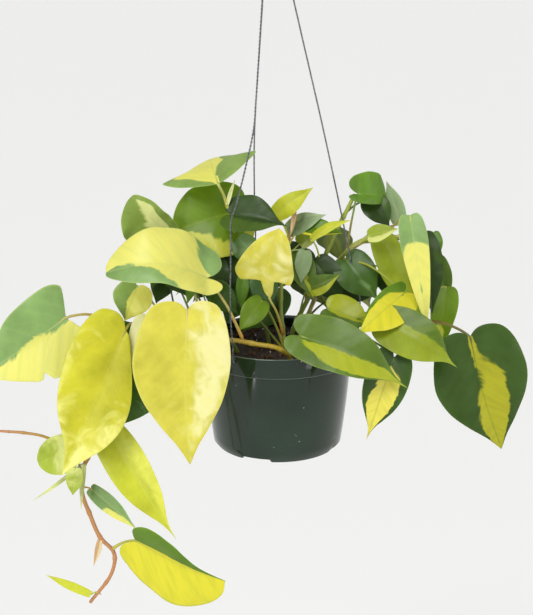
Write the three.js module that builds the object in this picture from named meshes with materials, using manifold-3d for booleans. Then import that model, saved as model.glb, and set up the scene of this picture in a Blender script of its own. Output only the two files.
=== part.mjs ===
// A potted variegated philodendron in a plastic pot that hangs on three wires. Millimetres, +Z up.
// The origin is the inside top of the hook, where the whole thing hangs.
import * as THREE from "three";
import { mergeVertices } from "three/addons/utils/BufferGeometryUtils.js";
import Module from "manifold-3d";

const wasm = await Module();
wasm.setup();

// Driving dimensions of the pot
const RIM_RADIUS = 76; // outside of the lip at its top
const BASE_RADIUS = 63;
const POT_HEIGHT = 108;
const WALL = 1.8;
const LIP_HEIGHT = 19.5;
const LIP_TAPER = 1; // how much narrower the lip is at its lower edge
const LIP_GAP = 1.2; // between the lip and the wall behind it
const RIM_ROUND = 0.8; // takes the sharp edge off the top of the lip
const WALL_SWELL = 1.5; // how far the wall bows out at mid height
const FLOOR_LIFT = 7; // the floor stands on a notched foot ring
const FOOT_INSET = 2; // the foot ring's lower edge stands in from the base radius
const FOOT_BEVEL = 3; // height of the slope that joins the wall to that edge
const NOTCHES = 4;
const NOTCH_WIDTH = 27;
const NOTCH_RISE = 5.5;
const NOTCH_AZIMUTH = 250;
const DRAIN_HOLE_RADIUS = 4;
const DRAIN_HOLE_INSET = 19; // from the base radius in to each hole's centre
const SOIL_DEPTH = 11; // from the rim down to the soil
const SOIL_CROWN = 3;
const SOIL_SHOULDER = 0.6; // share of the radius where the crown begins to fall away

// Driving dimensions of the hanger
const HANGER_HEIGHT = 400; // from the rim to the neck where the wires meet
const NECK_TO_HOOK = 65; // from the wires' meeting place to the inside top of the hook
const NECK_OFFSET = -8; // the pot hangs this far off the line below its hook
const WIRE_RADIUS = 0.9;
const HOOK_WIRE_RADIUS = 1.3;
const HOOK_INSIDE_RADIUS = 14;
const WRAP_TURNS = 6;
const WRAP_LENGTH = 20;
const WIRE_HOLE_RADIUS = 1.7;
const WIRE_HOLE_DROP = 6; // below the top of the rim
const WIRE_STANDOFF = 2; // how far a wire stands off the lip before it turns into its hole
const WIRE_END_INSIDE = 9; // how far in from the outside of the lip a wire's end reaches
const WIRE_AZIMUTHS = { front_left: 238, right: 358, rear: 118 };

// The plant grew to fit a pot of this rim radius, and follows the pot if that changes.
const GROWN_RIM_RADIUS = 76;
const LEAF_THICKNESS = 1;
const PETIOLE_RADIUS = 0.7; // of the thinnest, which grows with the leaf it carries
const PETIOLE_GAIN = 0.007; // per millimetre of the leaf's width
const PETIOLE_RISE = 0.1; // how high a petiole arches, as a share of its span
const PETIOLE_REACH = 0.06; // how far along the blade it runs on as the midrib
const CLEARANCE = 0.3;

// The outline of every blade
const SHOULDER = 0.08; // where on a half wave the width starts at the base
const LOBE_SHOULDER = 0.6; // how much further on a deep lobe makes it start
const EARLY_WIDTH = 0.75; // below 1, the blade is widest nearer its base
const TIP_TAPER = 0.65; // draws the outer part in towards a pointed tip
const LEAST_HALF_WIDTH = 0.7;

const ROUND_SEGMENTS = 36; // sides of the pot and the soil
const WALL_STEPS = 4; // facets up the pot's wall
const BLADE_STEPS = [6, 4]; // facets along and across a leaf blade
const BLADE_SPACING = 1.25; // above 1, the facets along a blade are closer near its base
const PETIOLE_STEPS = 4;
const CUTTER_LENGTH = 16; // of the plugs that cut holes, longer than any wall they pass

const growth = RIM_RADIUS / GROWN_RIM_RADIUS;
const rad = THREE.MathUtils.degToRad;
const vec = (p) => new THREE.Vector3(...p);

// Stems in the pot's frame, from the soil outwards: name, radius, route.
const STEMS = [
  ["trailing_vine", 2.2, [[14, -34, -45], [12, -50, -8], [0, -62, 7], [-20, -62, 11],
    [-44, -56, 13], [-66, -58, 10], [-84, -54, -8], [-102, -38, -34], [-128, -26, -60],
    [-168, -28, -93], [-189, -38, -121], [-191, -44, -146], [-184, -45, -170],
    [-175, -45, -194], [-162, -45, -211], [-165, -45, -233], [-188, -45, -266]]],
  ["left_runner", 1.4, [[-193, -42, -112], [-208, -42, -99], [-225, -42, -89],
    [-244, -42, -85], [-268, -42, -83], [-277, -42, -82]]],
  ["left_stem", 2, [[-30, -10, -45], [-42, -20, -4], [-60, -30, 14], [-92, -32, 18],
    [-121, -30, 19], [-145, -30, 22], [-166, -32, 28]]],
  ["top_left_stem", 2, [[-8, -6, -45], [-9, -6, 0], [-22, 0, 38], [-36, 2, 86], [-48, -5, 130]]],
  ["centre_stem", 2, [[8, -24, -45], [7, -24, -5], [3, -14, 35], [6, -6, 75], [12, 2, 98]]],
  ["top_right_stem", 2.4, [[10, 6, -45], [14, 6, 0], [34, 8, 45], [52, 6, 95], [66, 2, 125],
    [73, 0, 141]]],
  ["right_stem", 2.2, [[24, 20, -45], [26, 20, -2], [45, 20, 50], [69, 15, 82], [95, 6, 98],
    [117, -2, 100]]],
  ["right_low_stem", 2.2, [[30, -14, -45], [32, -18, 3], [64, -26, 22], [106, -22, 33],
    [140, -18, 20]]],
];

// Leaves in the pot's frame: name, stem, how far along it (0 to 1), blade base, blade tip, width,
// the way the upper side faces, arch, fold in degrees, and how far the lobes reach behind the base.
const LEAVES = [
  ["far_left", "left_stem", 0.99, [-200, -40, 30], [-283, -60, -24], 78, [0.1, -1, 0.3], 6, 10, 0.14],
  ["left_large", "left_stem", 0.82, [-147, -66, 21], [-203, -88, -110], 78, [0, -1, 0.3], 8, 8, 0.1],
  ["left_dark", "left_stem", 0.72, [-134, -40, 2], [-178, -48, -92], 82, [0, -1, 0.2], 2, 5, 0.14],
  ["left_cream", "left_stem", 0.6, [-116, -58, 30], [-116, -68, -44], 46, [0, -1, 0.2], 4, 6, 0.12],
  ["left_small", "trailing_vine", 0.68, [-198, -54, -98], [-228, -66, -104], 38, [0, -1, 0.2], 2, 8, 0.08],
  ["left_hanging", "trailing_vine", 0.69, [-193, -66, -112], [-196, -70, -138], 17, [0, -1, 0], 2, 12, 0.05],
  ["long_lower", "trailing_vine", 0.64, [-160, -60, -80], [-97, -82, -178], 42, [0, -1, 0.1], 6, 14, 0.1],
  ["narrow_lower", "trailing_vine", 0.71, [-182, -42, -144], [-138, -55, -180], 18, [0, -1, 0.2], 2, 10, 0.04],
  ["bottom", "trailing_vine", 0.86, [-138, -56, -193], [-51, -75, -226], 80, [-0.1, -0.82, -0.57], 3, 34, 0.08],
  ["vine_end", "trailing_vine", 0.97, [-186, -50, -254], [-229, -56, -229], 9, [0, -1, 0.4], -5, 10, 0],
  ["top_left", "top_left_stem", 0.97, [-56, -15, 153], [-84, 46, 172], 80, [-0.34, -0.2, 0.92], 4, 6, 0.14],
  ["upright_left", "left_stem", 0.45, [-118, -8, 96], [-134, -24, 141], 40, [-0.1, -1, 0.2], 4, 12, 0.12],
  ["left_broad", "trailing_vine", 0.2, [-75, -60, 78], [-155, -80, 86], 68, [0, -0.75, 0.66], 22, 8, 0.14],
  ["behind_left", "top_left_stem", 0.7, [-42, 14, 116], [-97, 6, 110], 64, [0, -0.85, 0.4], 6, 6, 0.14],
  ["dark_centre", "top_left_stem", 0.8, [-42, -10, 117], [8, -25, 116], 38, [0, -0.8, 0.6], 4, 16, 0.1],
  ["centre_pointed", "centre_stem", 0.99, [-2, 0, 121], [33, -10, 149], 21, [0, -1, 0.4], 3, 14, 0.06],
  ["left_upper_small", "left_stem", 0.56, [-131, -44, 62], [-143, -50, 30], 38, [0, -1, 0.3], 3, 10, 0.08],
  ["front_large", "trailing_vine", 0.26, [-82, -92, 52], [-80, -118, -86], 86, [0, -1, 0.2], 6, 8, 0.14],
  ["centre_cream", "centre_stem", 0.35, [-8, -44, 50], [1, -54, 119], 50, [0, -1, 0.2], 6, 10, 0.1],
  ["centre_left_small", "top_left_stem", 0.6, [-24, -10, 95], [-47, -18, 98], 18, [0, -0.9, 0.4], 2, 8, 0.06],
  ["centre_blue_green", "top_left_stem", 0.56, [-22, -16, 74], [-24, -22, 38], 25, [0, -1, 0.3], 2, 6, 0.06],
  ["centre_sage", "top_left_stem", 0.55, [-39, 20, 80], [-66, 12, 71], 24, [0, -1, 0.3], 2, 6, 0.06],
  ["centre_olive", "centre_stem", 0.25, [-15, -34, 45], [-37, -50, 20], 24, [0, -1, 0.3], 3, 12, 0.06],
  ["centre_right_sage", "centre_stem", 0.9, [26, -9, 87], [22, -16, 57], 16, [0, -1, 0.2], 2, 0, 0.06],
  ["centre_top", "centre_stem", 0.9, [10, 8, 104], [46, 0, 121], 20, [0, -0.8, 0.5], 3, 10, 0.06],
  ["edge_on", "top_right_stem", 0.6, [33, -10, 100], [69, -20, 120], 13, [0, -0.6, 0.8], 4, 20, 0.06],
  ["centre_folded", "centre_stem", 0.8, [22, 14, 90], [42, 16, 110], 20, [0, -1, 0.3], 2, 20, 0.06],
  ["right_inner", "top_right_stem", 0.33, [28, -10, 50], [59, -22, 68], 20, [0, -1, 0.2], 2, 12, 0.06],
  ["right_heart", "top_right_stem", 0.98, [75, -5, 147], [94, -30, 143], 36, [0.1, -0.7, 0.7], 4, 8, 0.14],
  ["right_dark", "top_right_stem", 0.9, [84, 2, 134], [104, -12, 106], 24, [0.2, -1, 0.2], 2, 14, 0.06],
  ["right_sage", "right_stem", 0.72, [106, 12, 150], [112, -2, 110], 17, [0, -1, 0.1], 2, 12, 0.06],
  ["right_lime", "right_stem", 0.62, [86, -18, 104], [112, -28, 113], 18, [0, -0.8, 0.5], 2, 18, 0.06],
  ["right_olive", "right_stem", 0.78, [99, -4, 98], [140, -24, 20], 28, [0, -1, 0.1], 3, 14, 0.06],
  ["right_long", "right_stem", 0.93, [122, -32, 126], [139, -60, 26], 18, [0, -1, 0.1], 5, 20, 0.06],
  ["right_green", "right_stem", 0.98, [137, -6, 100], [148, -28, 28], 22, [0.2, -1, 0.1], 3, 14, 0.06],
  ["right_tail", "right_stem", 0.88, [156, 16, 76], [165, 10, 38], 18, [0.1, -1, 0.1], 2, 12, 0.06],
  ["right_outer", "right_low_stem", 0.85, [163, -2, 50], [153, -6, -22], 28, [0.1, -1, 0.1], 3, 14, 0.06],
  ["right_small_lime", "right_stem", 0.55, [101, 10, 68], [118, 4, 75], 19, [0, -1, 0.3], 2, 10, 0.06],
  ["right_yellow", "right_stem", 0.66, [113, -44, 58], [68, -62, 22], 32, [0, -1, 0.3], 5, 10, 0.12],
  ["right_shaded", "right_stem", 0.3, [58, 30, 30], [90, 24, 57], 26, [0, -1, 0.2], 2, 8, 0.12],
  ["front_long", "right_low_stem", 0.25, [20, -84, 28], [110, -108, -4], 40, [0, -0.85, 0.5], 14, 10, 0.12],
  ["front_lime", "right_low_stem", 0.5, [104, -74, 26], [157, -94, 0], 30, [0, -0.85, 0.5], 5, 12, 0.12],
  ["front_hanging", "right_low_stem", 0.4, [105, -88, 6], [80, -108, -66], 42, [0, -1, 0.1], 5, 12, 0.1],
  ["right_large", "right_low_stem", 0.99, [180, -50, 14], [212, -66, -92], 84, [0, -1, 0.2], 6, 6, 0.12],
];

const colour = {
  plastic: 0x1d3a26, soil: 0x2b211a, wire: 0x9a9c9a, vine: 0x9a6a34, stem: 0x7f8a3c, leaf: 0x8aa83a,
};

function material(hex, roughness, metalness = 0) {
  return new THREE.MeshStandardMaterial({ color: hex, roughness, metalness });
}

function solid(geometry) {
  const bare = geometry.clone();
  bare.deleteAttribute("normal");
  bare.deleteAttribute("uv");
  const merged = mergeVertices(bare, 1e-3);
  return new wasm.Manifold(
    new wasm.Mesh({
      numProp: 3,
      vertProperties: new Float32Array(merged.attributes.position.array),
      triVerts: new Uint32Array(merged.index.array),
    }),
  );
}

function geometryOf(made) {
  const mesh = made.getMesh();
  const geometry = new THREE.BufferGeometry();
  geometry.setAttribute("position", new THREE.BufferAttribute(mesh.vertProperties, 3));
  geometry.setIndex(new THREE.BufferAttribute(mesh.triVerts, 1));
  geometry.computeVertexNormals();
  return geometry;
}

// A smooth route whose steps are shared evenly between its points, so that a tight bend stays smooth.
class Route extends THREE.CatmullRomCurve3 {
  constructor(points) {
    super(points.map(vec), false, "centripetal");
  }
  getUtoTmapping(u) {
    return u;
  }
}

function tube(curve, radius, steps, halfSides = 3) {
  const section = new THREE.Shape().absarc(0, 0, radius, 0, 2 * Math.PI);
  return new THREE.ExtrudeGeometry(section, {
    steps, extrudePath: curve, bevelEnabled: false, curveSegments: halfSides,
  });
}

function turned(profile, segments) {
  const points = profile.map(([r, z]) => new THREE.Vector2(r, z));
  return new THREE.LatheGeometry(points, segments).rotateX(Math.PI / 2);
}

// The pot, with its rim at z = 0
const wallTop = RIM_RADIUS - WALL - LIP_GAP;
const floorTop = -POT_HEIGHT + FLOOR_LIFT + WALL;
const wallAt = (z) => {
  const down = -z / POT_HEIGHT;
  return wallTop + (BASE_RADIUS - wallTop) * down + WALL_SWELL * Math.sin(Math.PI * down);
};

function makePot() {
  const outer = [];
  for (let i = 1; i <= WALL_STEPS; i++) {
    const z = -WALL + ((-POT_HEIGHT + FOOT_BEVEL + WALL) * i) / WALL_STEPS;
    outer.push([wallAt(z), z]);
  }
  const inner = [];
  for (let i = 0; i <= WALL_STEPS; i++) {
    const z = floorTop + (-floorTop * i) / WALL_STEPS;
    inner.push([wallAt(z) - WALL, z]);
  }
  const profile = [
    [0, floorTop],
    ...inner,
    [RIM_RADIUS - RIM_ROUND, 0],
    [RIM_RADIUS, -RIM_ROUND],
    [RIM_RADIUS - LIP_TAPER, -LIP_HEIGHT],
    [RIM_RADIUS - LIP_TAPER - WALL, -LIP_HEIGHT],
    [RIM_RADIUS - WALL, -WALL],
    [wallTop, -WALL],
    ...outer,
    [BASE_RADIUS - FOOT_INSET, -POT_HEIGHT],
    [BASE_RADIUS - FOOT_INSET - WALL, -POT_HEIGHT],
    [BASE_RADIUS - FOOT_INSET / 2 - WALL, floorTop - WALL],
    [0, floorTop - WALL],
  ];
  let pot = solid(turned(profile.reverse(), ROUND_SEGMENTS));
  for (let i = 0; i < NOTCHES; i++) {
    const azimuth = rad(NOTCH_AZIMUTH + (360 / NOTCHES) * i);
    const notch = new THREE.BoxGeometry(CUTTER_LENGTH, NOTCH_WIDTH, 2 * NOTCH_RISE)
      .translate(BASE_RADIUS, 0, -POT_HEIGHT)
      .rotateZ(azimuth);
    const hole = new THREE.CylinderGeometry(DRAIN_HOLE_RADIUS, DRAIN_HOLE_RADIUS, CUTTER_LENGTH, 12)
      .rotateX(Math.PI / 2)
      .translate(BASE_RADIUS - DRAIN_HOLE_INSET, 0, floorTop)
      .rotateZ(azimuth);
    pot = pot.subtract(solid(notch)).subtract(solid(hole));
  }
  for (const azimuth of Object.values(WIRE_AZIMUTHS)) {
    const hole = new THREE.CylinderGeometry(WIRE_HOLE_RADIUS, WIRE_HOLE_RADIUS, CUTTER_LENGTH, 10)
      .rotateZ(Math.PI / 2)
      .translate(RIM_RADIUS - WIRE_END_INSIDE / 2, 0, -WIRE_HOLE_DROP)
      .rotateZ(rad(azimuth));
    pot = pot.subtract(solid(hole));
  }
  return pot;
}

function makeSoil() {
  const inside = (z) => wallAt(z) - WALL - CLEARANCE;
  const bottom = floorTop + CLEARANCE;
  const profile = [[0, bottom]];
  for (let i = 0; i <= WALL_STEPS; i++) {
    const z = bottom + ((-SOIL_DEPTH - bottom) * i) / WALL_STEPS;
    profile.push([inside(z), z]);
  }
  profile.push([inside(0) * SOIL_SHOULDER, -SOIL_DEPTH + SOIL_CROWN * SOIL_SHOULDER]);
  profile.push([0, -SOIL_DEPTH + SOIL_CROWN]);
  return solid(turned(profile, ROUND_SEGMENTS));
}

// The hanger, in the pot's frame
const neck = new THREE.Vector3(NECK_OFFSET, 0, HANGER_HEIGHT);
const hookTop = HANGER_HEIGHT + NECK_TO_HOOK;

// Each wire's way through the leaves, in the pot's frame: it grew into them, so it follows the plant.
const WIRE_ROUTES = {
  front_left: [[-20.3, -27, 232], [-22.5, -33, 206], [-30.4, -37, 170], [-38.8, -42, 138],
    [-43.4, -46, 123], [-43.5, -56, 96], [-44, -67, 40]],
  right: [[42.3, -1, 202], [60, -2, 124], [72.1, -3, 69], [79.5, -3, 40]],
  rear: [[-22.3, 34, 196], [-22.7, 45, 127], [-22, 53, 85], [-31, 64, 32]],
};

function wireCurve(azimuth, route) {
  const out = (r, z) => [r * Math.cos(rad(azimuth)), r * Math.sin(rad(azimuth)), z];
  const outside = RIM_RADIUS + WIRE_RADIUS + WIRE_STANDOFF;
  const [x, y] = out(HOOK_WIRE_RADIUS + WIRE_RADIUS + CLEARANCE, 0);
  const top = [neck.x + x, y, HANGER_HEIGHT - WIRE_RADIUS];
  const leafy = route.map((point) => point.map((value) => value * growth));
  return new Route([
    top,
    top.map((value, axis) => (value + leafy[0][axis]) / 2),
    ...leafy,
    out(outside, WIRE_HOLE_DROP),
    out(outside, -WIRE_HOLE_DROP / 2),
    out(RIM_RADIUS + WIRE_RADIUS, -WIRE_HOLE_DROP),
    out(RIM_RADIUS - WIRE_END_INSIDE / 3, -WIRE_HOLE_DROP),
    out(RIM_RADIUS - WIRE_END_INSIDE, -WIRE_HOLE_DROP),
  ]);
}

function makeHook() {
  const r = HOOK_INSIDE_RADIUS + HOOK_WIRE_RADIUS;
  const centre = hookTop - HOOK_INSIDE_RADIUS;
  const on = (degrees, reach) => [
    neck.x + reach * r * Math.cos(rad(degrees)), 0, centre + reach * r * Math.sin(rad(degrees)),
  ];
  const points = [
    [neck.x, 0, HANGER_HEIGHT - HOOK_WIRE_RADIUS],
    [neck.x, 0, HANGER_HEIGHT + WRAP_LENGTH / 2],
    [neck.x, 0, HANGER_HEIGHT + WRAP_LENGTH],
    on(-90, 1.6), // where the straight shank starts to lean out
  ];
  for (let degrees = -40; degrees <= 200; degrees += 30) points.push(on(degrees, 1));
  points.push(on(211, 1.46)); // the end flares out, so that it slips over a rail
  return solid(tube(new Route(points), HOOK_WIRE_RADIUS, 2 * (points.length - 1), 4));
}

function makeWrap() {
  const around = HOOK_WIRE_RADIUS + WIRE_RADIUS + CLEARANCE;
  const start = HANGER_HEIGHT + WIRE_RADIUS + 2 * CLEARANCE;
  const points = [];
  const perTurn = 8;
  for (let i = 0; i <= WRAP_TURNS * perTurn; i++) {
    const angle = (2 * Math.PI * i) / perTurn;
    points.push([
      neck.x + around * Math.cos(angle),
      around * Math.sin(angle),
      start + (WRAP_LENGTH * i) / (WRAP_TURNS * perTurn),
    ]);
  }
  return solid(tube(new Route(points), WIRE_RADIUS, points.length - 1));
}

// The plant
const stemCurves = new Map(
  STEMS.map(([name, , route]) => [
    name,
    new THREE.CatmullRomCurve3(route.map((p) => vec(p).multiplyScalar(growth)), false, "centripetal"),
  ]),
);

// A leaf's own directions: along the midrib, across it, and out of its upper side
function axesOf(base, tip, face) {
  const along = tip.clone().sub(base);
  const length = along.length();
  along.normalize();
  const up = face.clone().addScaledVector(along, -face.dot(along)).normalize();
  return { length, along, up, across: up.clone().cross(along) };
}

// A point of a blade: u runs from base to tip, v from edge to edge, h is the height off its middle layer.
function bladePoint([, , , base, tip, width, face, arch, fold, lobe], u, v, h) {
  const start = vec(base).multiplyScalar(growth);
  const { length, along, up, across } = axesOf(start, vec(tip).multiplyScalar(growth), vec(face));
  const folded = rad(fold);
  const shoulder = SHOULDER + LOBE_SHOULDER * lobe;
  const swell = Math.sin(Math.PI * (shoulder + (1 - shoulder) * u ** EARLY_WIDTH));
  const drawn = swell ** (1 + TIP_TAPER * Math.min(1, 2 * u));
  const half = Math.max(0.5 * width * growth * drawn, LEAST_HALF_WIDTH);
  const back = lobe * (1 - u) ** 3 * Math.sin((Math.PI / 2) * Math.abs(v)) ** 2;
  const rise = arch * growth * Math.sin(Math.PI * u) + half * Math.abs(v) * Math.sin(folded);
  return start
    .addScaledVector(along, length * (u - back))
    .addScaledVector(across, half * v * Math.cos(folded) - Math.sign(v) * h * Math.sin(folded))
    .addScaledVector(up, rise + h * (v ? Math.cos(folded) : 1));
}

// A blade is a thin box bent into a heart.
function bladeGeometry(leaf) {
  const box = new THREE.BoxGeometry(1, 1, 1, ...BLADE_STEPS, 1);
  const place = box.attributes.position;
  for (let i = 0; i < place.count; i++) {
    const u = (place.getX(i) + 0.5) ** BLADE_SPACING;
    const point = bladePoint(leaf, u, place.getY(i) * 2, place.getZ(i) * LEAF_THICKNESS);
    place.setXYZ(i, point.x, point.y, point.z);
  }
  return box;
}

function petioleGeometry(leaf) {
  const from = stemCurves.get(leaf[1]).getPointAt(leaf[2]);
  const end = bladePoint(leaf, 0, 0, 0);
  const middle = from.clone().lerp(end, 0.5);
  middle.z += PETIOLE_RISE * from.distanceTo(end);
  const curve = new THREE.CatmullRomCurve3([from, middle, end, bladePoint(leaf, PETIOLE_REACH, 0, 0)]);
  return tube(curve, PETIOLE_RADIUS + PETIOLE_GAIN * leaf[5], PETIOLE_STEPS, 2.5);
}

const group = new THREE.Group();
const hung = new THREE.Group(); // the pot's frame, hung below the hook
hung.position.set(-NECK_OFFSET, 0, -hookTop);
group.add(hung);

function add(name, made, look) {
  const mesh = new THREE.Mesh(geometryOf(made), look);
  mesh.name = name;
  hung.add(mesh);
}

const stemSolids = STEMS.map(([name, radius, route]) => {
  const steps = 2 * (route.length - 1);
  return {
    name,
    made: solid(tube(stemCurves.get(name), radius, steps)),
    room: solid(tube(stemCurves.get(name), radius + CLEARANCE, steps)),
  };
});

add("pot", makePot(), material(colour.plastic, 0.25));

let soil = makeSoil();
for (const { room } of stemSolids) soil = soil.subtract(room);
add("soil", soil, material(colour.soil, 0.95));

add("hanger_hook", makeHook(), material(colour.wire, 0.4, 0.9));
add("neck_wrap", makeWrap(), material(colour.wire, 0.4, 0.9));
for (const [name, azimuth] of Object.entries(WIRE_AZIMUTHS)) {
  const curve = wireCurve(azimuth, WIRE_ROUTES[name]);
  const steps = 2 * (curve.points.length - 1);
  add(`hanger_wire_${name}`, solid(tube(curve, WIRE_RADIUS, steps)), material(colour.wire, 0.4, 0.9));
}

for (const { name, made } of stemSolids)
  add(name, made, material(name === "trailing_vine" ? colour.vine : colour.stem, 0.55));

for (const leaf of LEAVES) {
  let made = solid(bladeGeometry(leaf)).add(solid(petioleGeometry(leaf)));
  made = made.subtract(stemSolids.find(({ name }) => name === leaf[1]).room);
  add(`leaf_${leaf[0]}`, made, material(colour.leaf, 0.35));
}

export default group;
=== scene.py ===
"""A hanging pot of variegated philodendron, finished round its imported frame.

Lengths in the tables are millimetres in the pot's own frame: the origin is the middle of the rim,
+Z up, and the viewer is towards -Y. hung() turns them into metres in the row's frame.
"""
import math
from collections import namedtuple

import bmesh
import bpy
import numpy as np
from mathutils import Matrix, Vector


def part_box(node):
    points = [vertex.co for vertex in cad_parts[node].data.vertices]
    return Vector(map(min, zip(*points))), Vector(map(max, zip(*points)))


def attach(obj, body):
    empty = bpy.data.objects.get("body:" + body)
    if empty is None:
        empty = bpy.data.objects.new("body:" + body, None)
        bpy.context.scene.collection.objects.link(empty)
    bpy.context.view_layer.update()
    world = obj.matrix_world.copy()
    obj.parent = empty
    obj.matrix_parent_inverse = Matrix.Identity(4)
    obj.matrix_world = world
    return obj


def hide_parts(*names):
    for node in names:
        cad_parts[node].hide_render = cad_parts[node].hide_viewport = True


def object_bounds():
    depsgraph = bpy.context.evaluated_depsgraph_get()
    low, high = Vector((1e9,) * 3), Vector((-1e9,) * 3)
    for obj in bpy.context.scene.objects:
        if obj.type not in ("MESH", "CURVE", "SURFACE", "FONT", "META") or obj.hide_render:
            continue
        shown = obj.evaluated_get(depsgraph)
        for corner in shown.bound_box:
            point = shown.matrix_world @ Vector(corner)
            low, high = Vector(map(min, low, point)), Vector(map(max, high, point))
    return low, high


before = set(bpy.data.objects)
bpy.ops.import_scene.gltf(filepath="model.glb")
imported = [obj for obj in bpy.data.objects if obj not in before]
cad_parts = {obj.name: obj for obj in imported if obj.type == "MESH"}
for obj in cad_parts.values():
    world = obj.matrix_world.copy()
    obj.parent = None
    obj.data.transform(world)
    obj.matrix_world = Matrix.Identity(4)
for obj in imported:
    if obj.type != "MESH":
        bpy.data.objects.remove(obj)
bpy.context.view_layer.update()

# ---------------------------------------------------------------------------------------------
# The pot's frame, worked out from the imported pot
# ---------------------------------------------------------------------------------------------
POT_LOW, POT_HIGH = (np.array(corner) * 1000 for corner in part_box("pot"))
RIM_CENTRE = np.array([(POT_LOW[0] + POT_HIGH[0]) / 2, 0, POT_HIGH[2]])
RIM_RADIUS = (POT_HIGH[0] - POT_LOW[0]) / 2
POT_HEIGHT = POT_HIGH[2] - POT_LOW[2]
HANGER_HEIGHT = 400.0           # from the rim to where the wires meet
GROWTH = RIM_RADIUS / 76.0      # the plant's tables fit a rim of 76 mm radius
rng = np.random.default_rng(7)

# Stems, from the soil or the vine outwards: radius and route. They repeat the frame's.
STEMS = {
    "trailing_vine": (2.2, [
        (14, -34, -45), (12, -50, -8), (0, -62, 7), (-20, -62, 11), (-44, -56, 13), (-66, -58, 10),
        (-84, -54, -8), (-102, -38, -34), (-128, -26, -60), (-168, -28, -93), (-189, -38, -121),
        (-191, -44, -146), (-184, -45, -170), (-175, -45, -194), (-162, -45, -211),
        (-165, -45, -233), (-188, -45, -266)]),
    "left_runner": (1.4, [
        (-193, -42, -112), (-208, -42, -99), (-225, -42, -89), (-244, -42, -85),
        (-268, -42, -83), (-277, -42, -82)]),
    "left_stem": (2.0, [
        (-30, -10, -45), (-42, -20, -4), (-60, -30, 14), (-92, -32, 18), (-121, -30, 19),
        (-145, -30, 22), (-166, -32, 28)]),
    "top_left_stem": (2.0, [(-8, -6, -45), (-9, -6, 0), (-22, 0, 38), (-36, 2, 86), (-48, -5, 130)]),
    "centre_stem": (2.0, [(8, -24, -45), (7, -24, -5), (3, -14, 35), (6, -6, 75), (12, 2, 98)]),
    "top_right_stem": (2.4, [
        (10, 6, -45), (14, 6, 0), (34, 8, 45), (52, 6, 95), (66, 2, 125), (73, 0, 141)]),
    "right_stem": (2.2, [
        (24, 20, -45), (26, 20, -2), (45, 20, 50), (69, 15, 82), (95, 6, 98), (117, -2, 100)]),
    "right_low_stem": (2.2, [
        (30, -14, -45), (32, -18, 3), (64, -26, 22), (106, -22, 33), (140, -18, 20)]),
}

# The colours of a leaf: its ground, its patches, its margin and its stalk, and how softly the
# patches run into the ground, from 0, a clean edge, to 1.
LEAF_COLOURS = {
    "yellow_and_cream": ("#c2ba3e", "#d6d292", "#c9c870", "#b8862a", 0.5),
    "gold_and_yellow": ("#bab61e", "#dcd97a", "#b5bc4c", "#a4862c", 0.6),
    "sage_and_yellow": ("#7c9b58", "#d2ce66", "#b4c174", "#b0842a", 0.1),
    "moss_and_sage": ("#3c5c14", "#74925a", "#557430", "#7f8630", 0.4),
    "cream_and_yellow": ("#dedd9c", "#c8cc4c", "#dad9a2", "#a89838", 0.5),
    "lime_and_pale": ("#9bab34", "#cbd07c", "#afbc5a", "#a0b044", 0.4),
    "yellow_green": ("#b6ba28", "#cccd4c", "#b8c054", "#a8ae38", 0.5),
    "green_and_yellow": ("#84a04e", "#dad662", "#a4b468", "#b0a83c", 0.06),
    "moss_and_gold": ("#557808", "#ccc42e", "#849a34", "#b0a83c", 0.06),
    "green_and_cream": ("#7f9640", "#ccd088", "#a8b662", "#aaa044", 0.1),
    "sage_and_lime": ("#546e1c", "#9aa11e", "#788c30", "#83983c", 0.1),
    "lime_and_green": ("#8b991c", "#4c6418", "#72862a", "#96a038", 0.12),
    "night_and_cream": ("#2e4a08", "#d0c650", "#4c6a20", "#70782c", 0.04),
    "night_and_yellow": ("#2e4804", "#9c991e", "#3f5a14", "#8c7030", 0.05),
    "olive_and_yellow": ("#64820c", "#bcbd44", "#8f9e38", "#988a34", 0.08),
    "bright_green": ("#577d14", "#7d9c34", "#76963a", "#ae8656", 0.4),
    # painted shade: a leaf green darkened to near black for the leaves deep in the crown, standing in for
    # the shade there
    "shade_darkened_green": ("#263e08", "#445c1c", "#385216", "#667430", 0.4),
    "sage": ("#82976a", "#a3ae88", "#8fa070", "#8a9c52", 0.4),
    "blue_green": ("#41602e", "#6c8a56", "#5f7e48", "#748e44", 0.4),
    "dry_sheath": ("#bf9c70", "#cdb88e", "#ae8460", "#a87c50", 0.4),
    "green_sheath": ("#bfc57c", "#d2d4a0", "#a9aa6a", "#acab5c", 0.4),
}

# A leaf's stem, how far along it, base, tip, width, the way the upper side faces, arch, fold in
# degrees, lobe as a share of the length, colours, and where the patches lie. Each word of the
# patches is a line across the blade, from the base to the tip; its digits give the share of patch
# from edge to edge, out of 9. The frame has the same 44 leaves in LEAVES, but 27 of them differ here
# in place, size or turn: 18 by under 10 mm at their ends, and the other nine by up to 45 mm.
Leaf = namedtuple("Leaf", "stem share base tip width face arch fold lobe colours patches")

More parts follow.
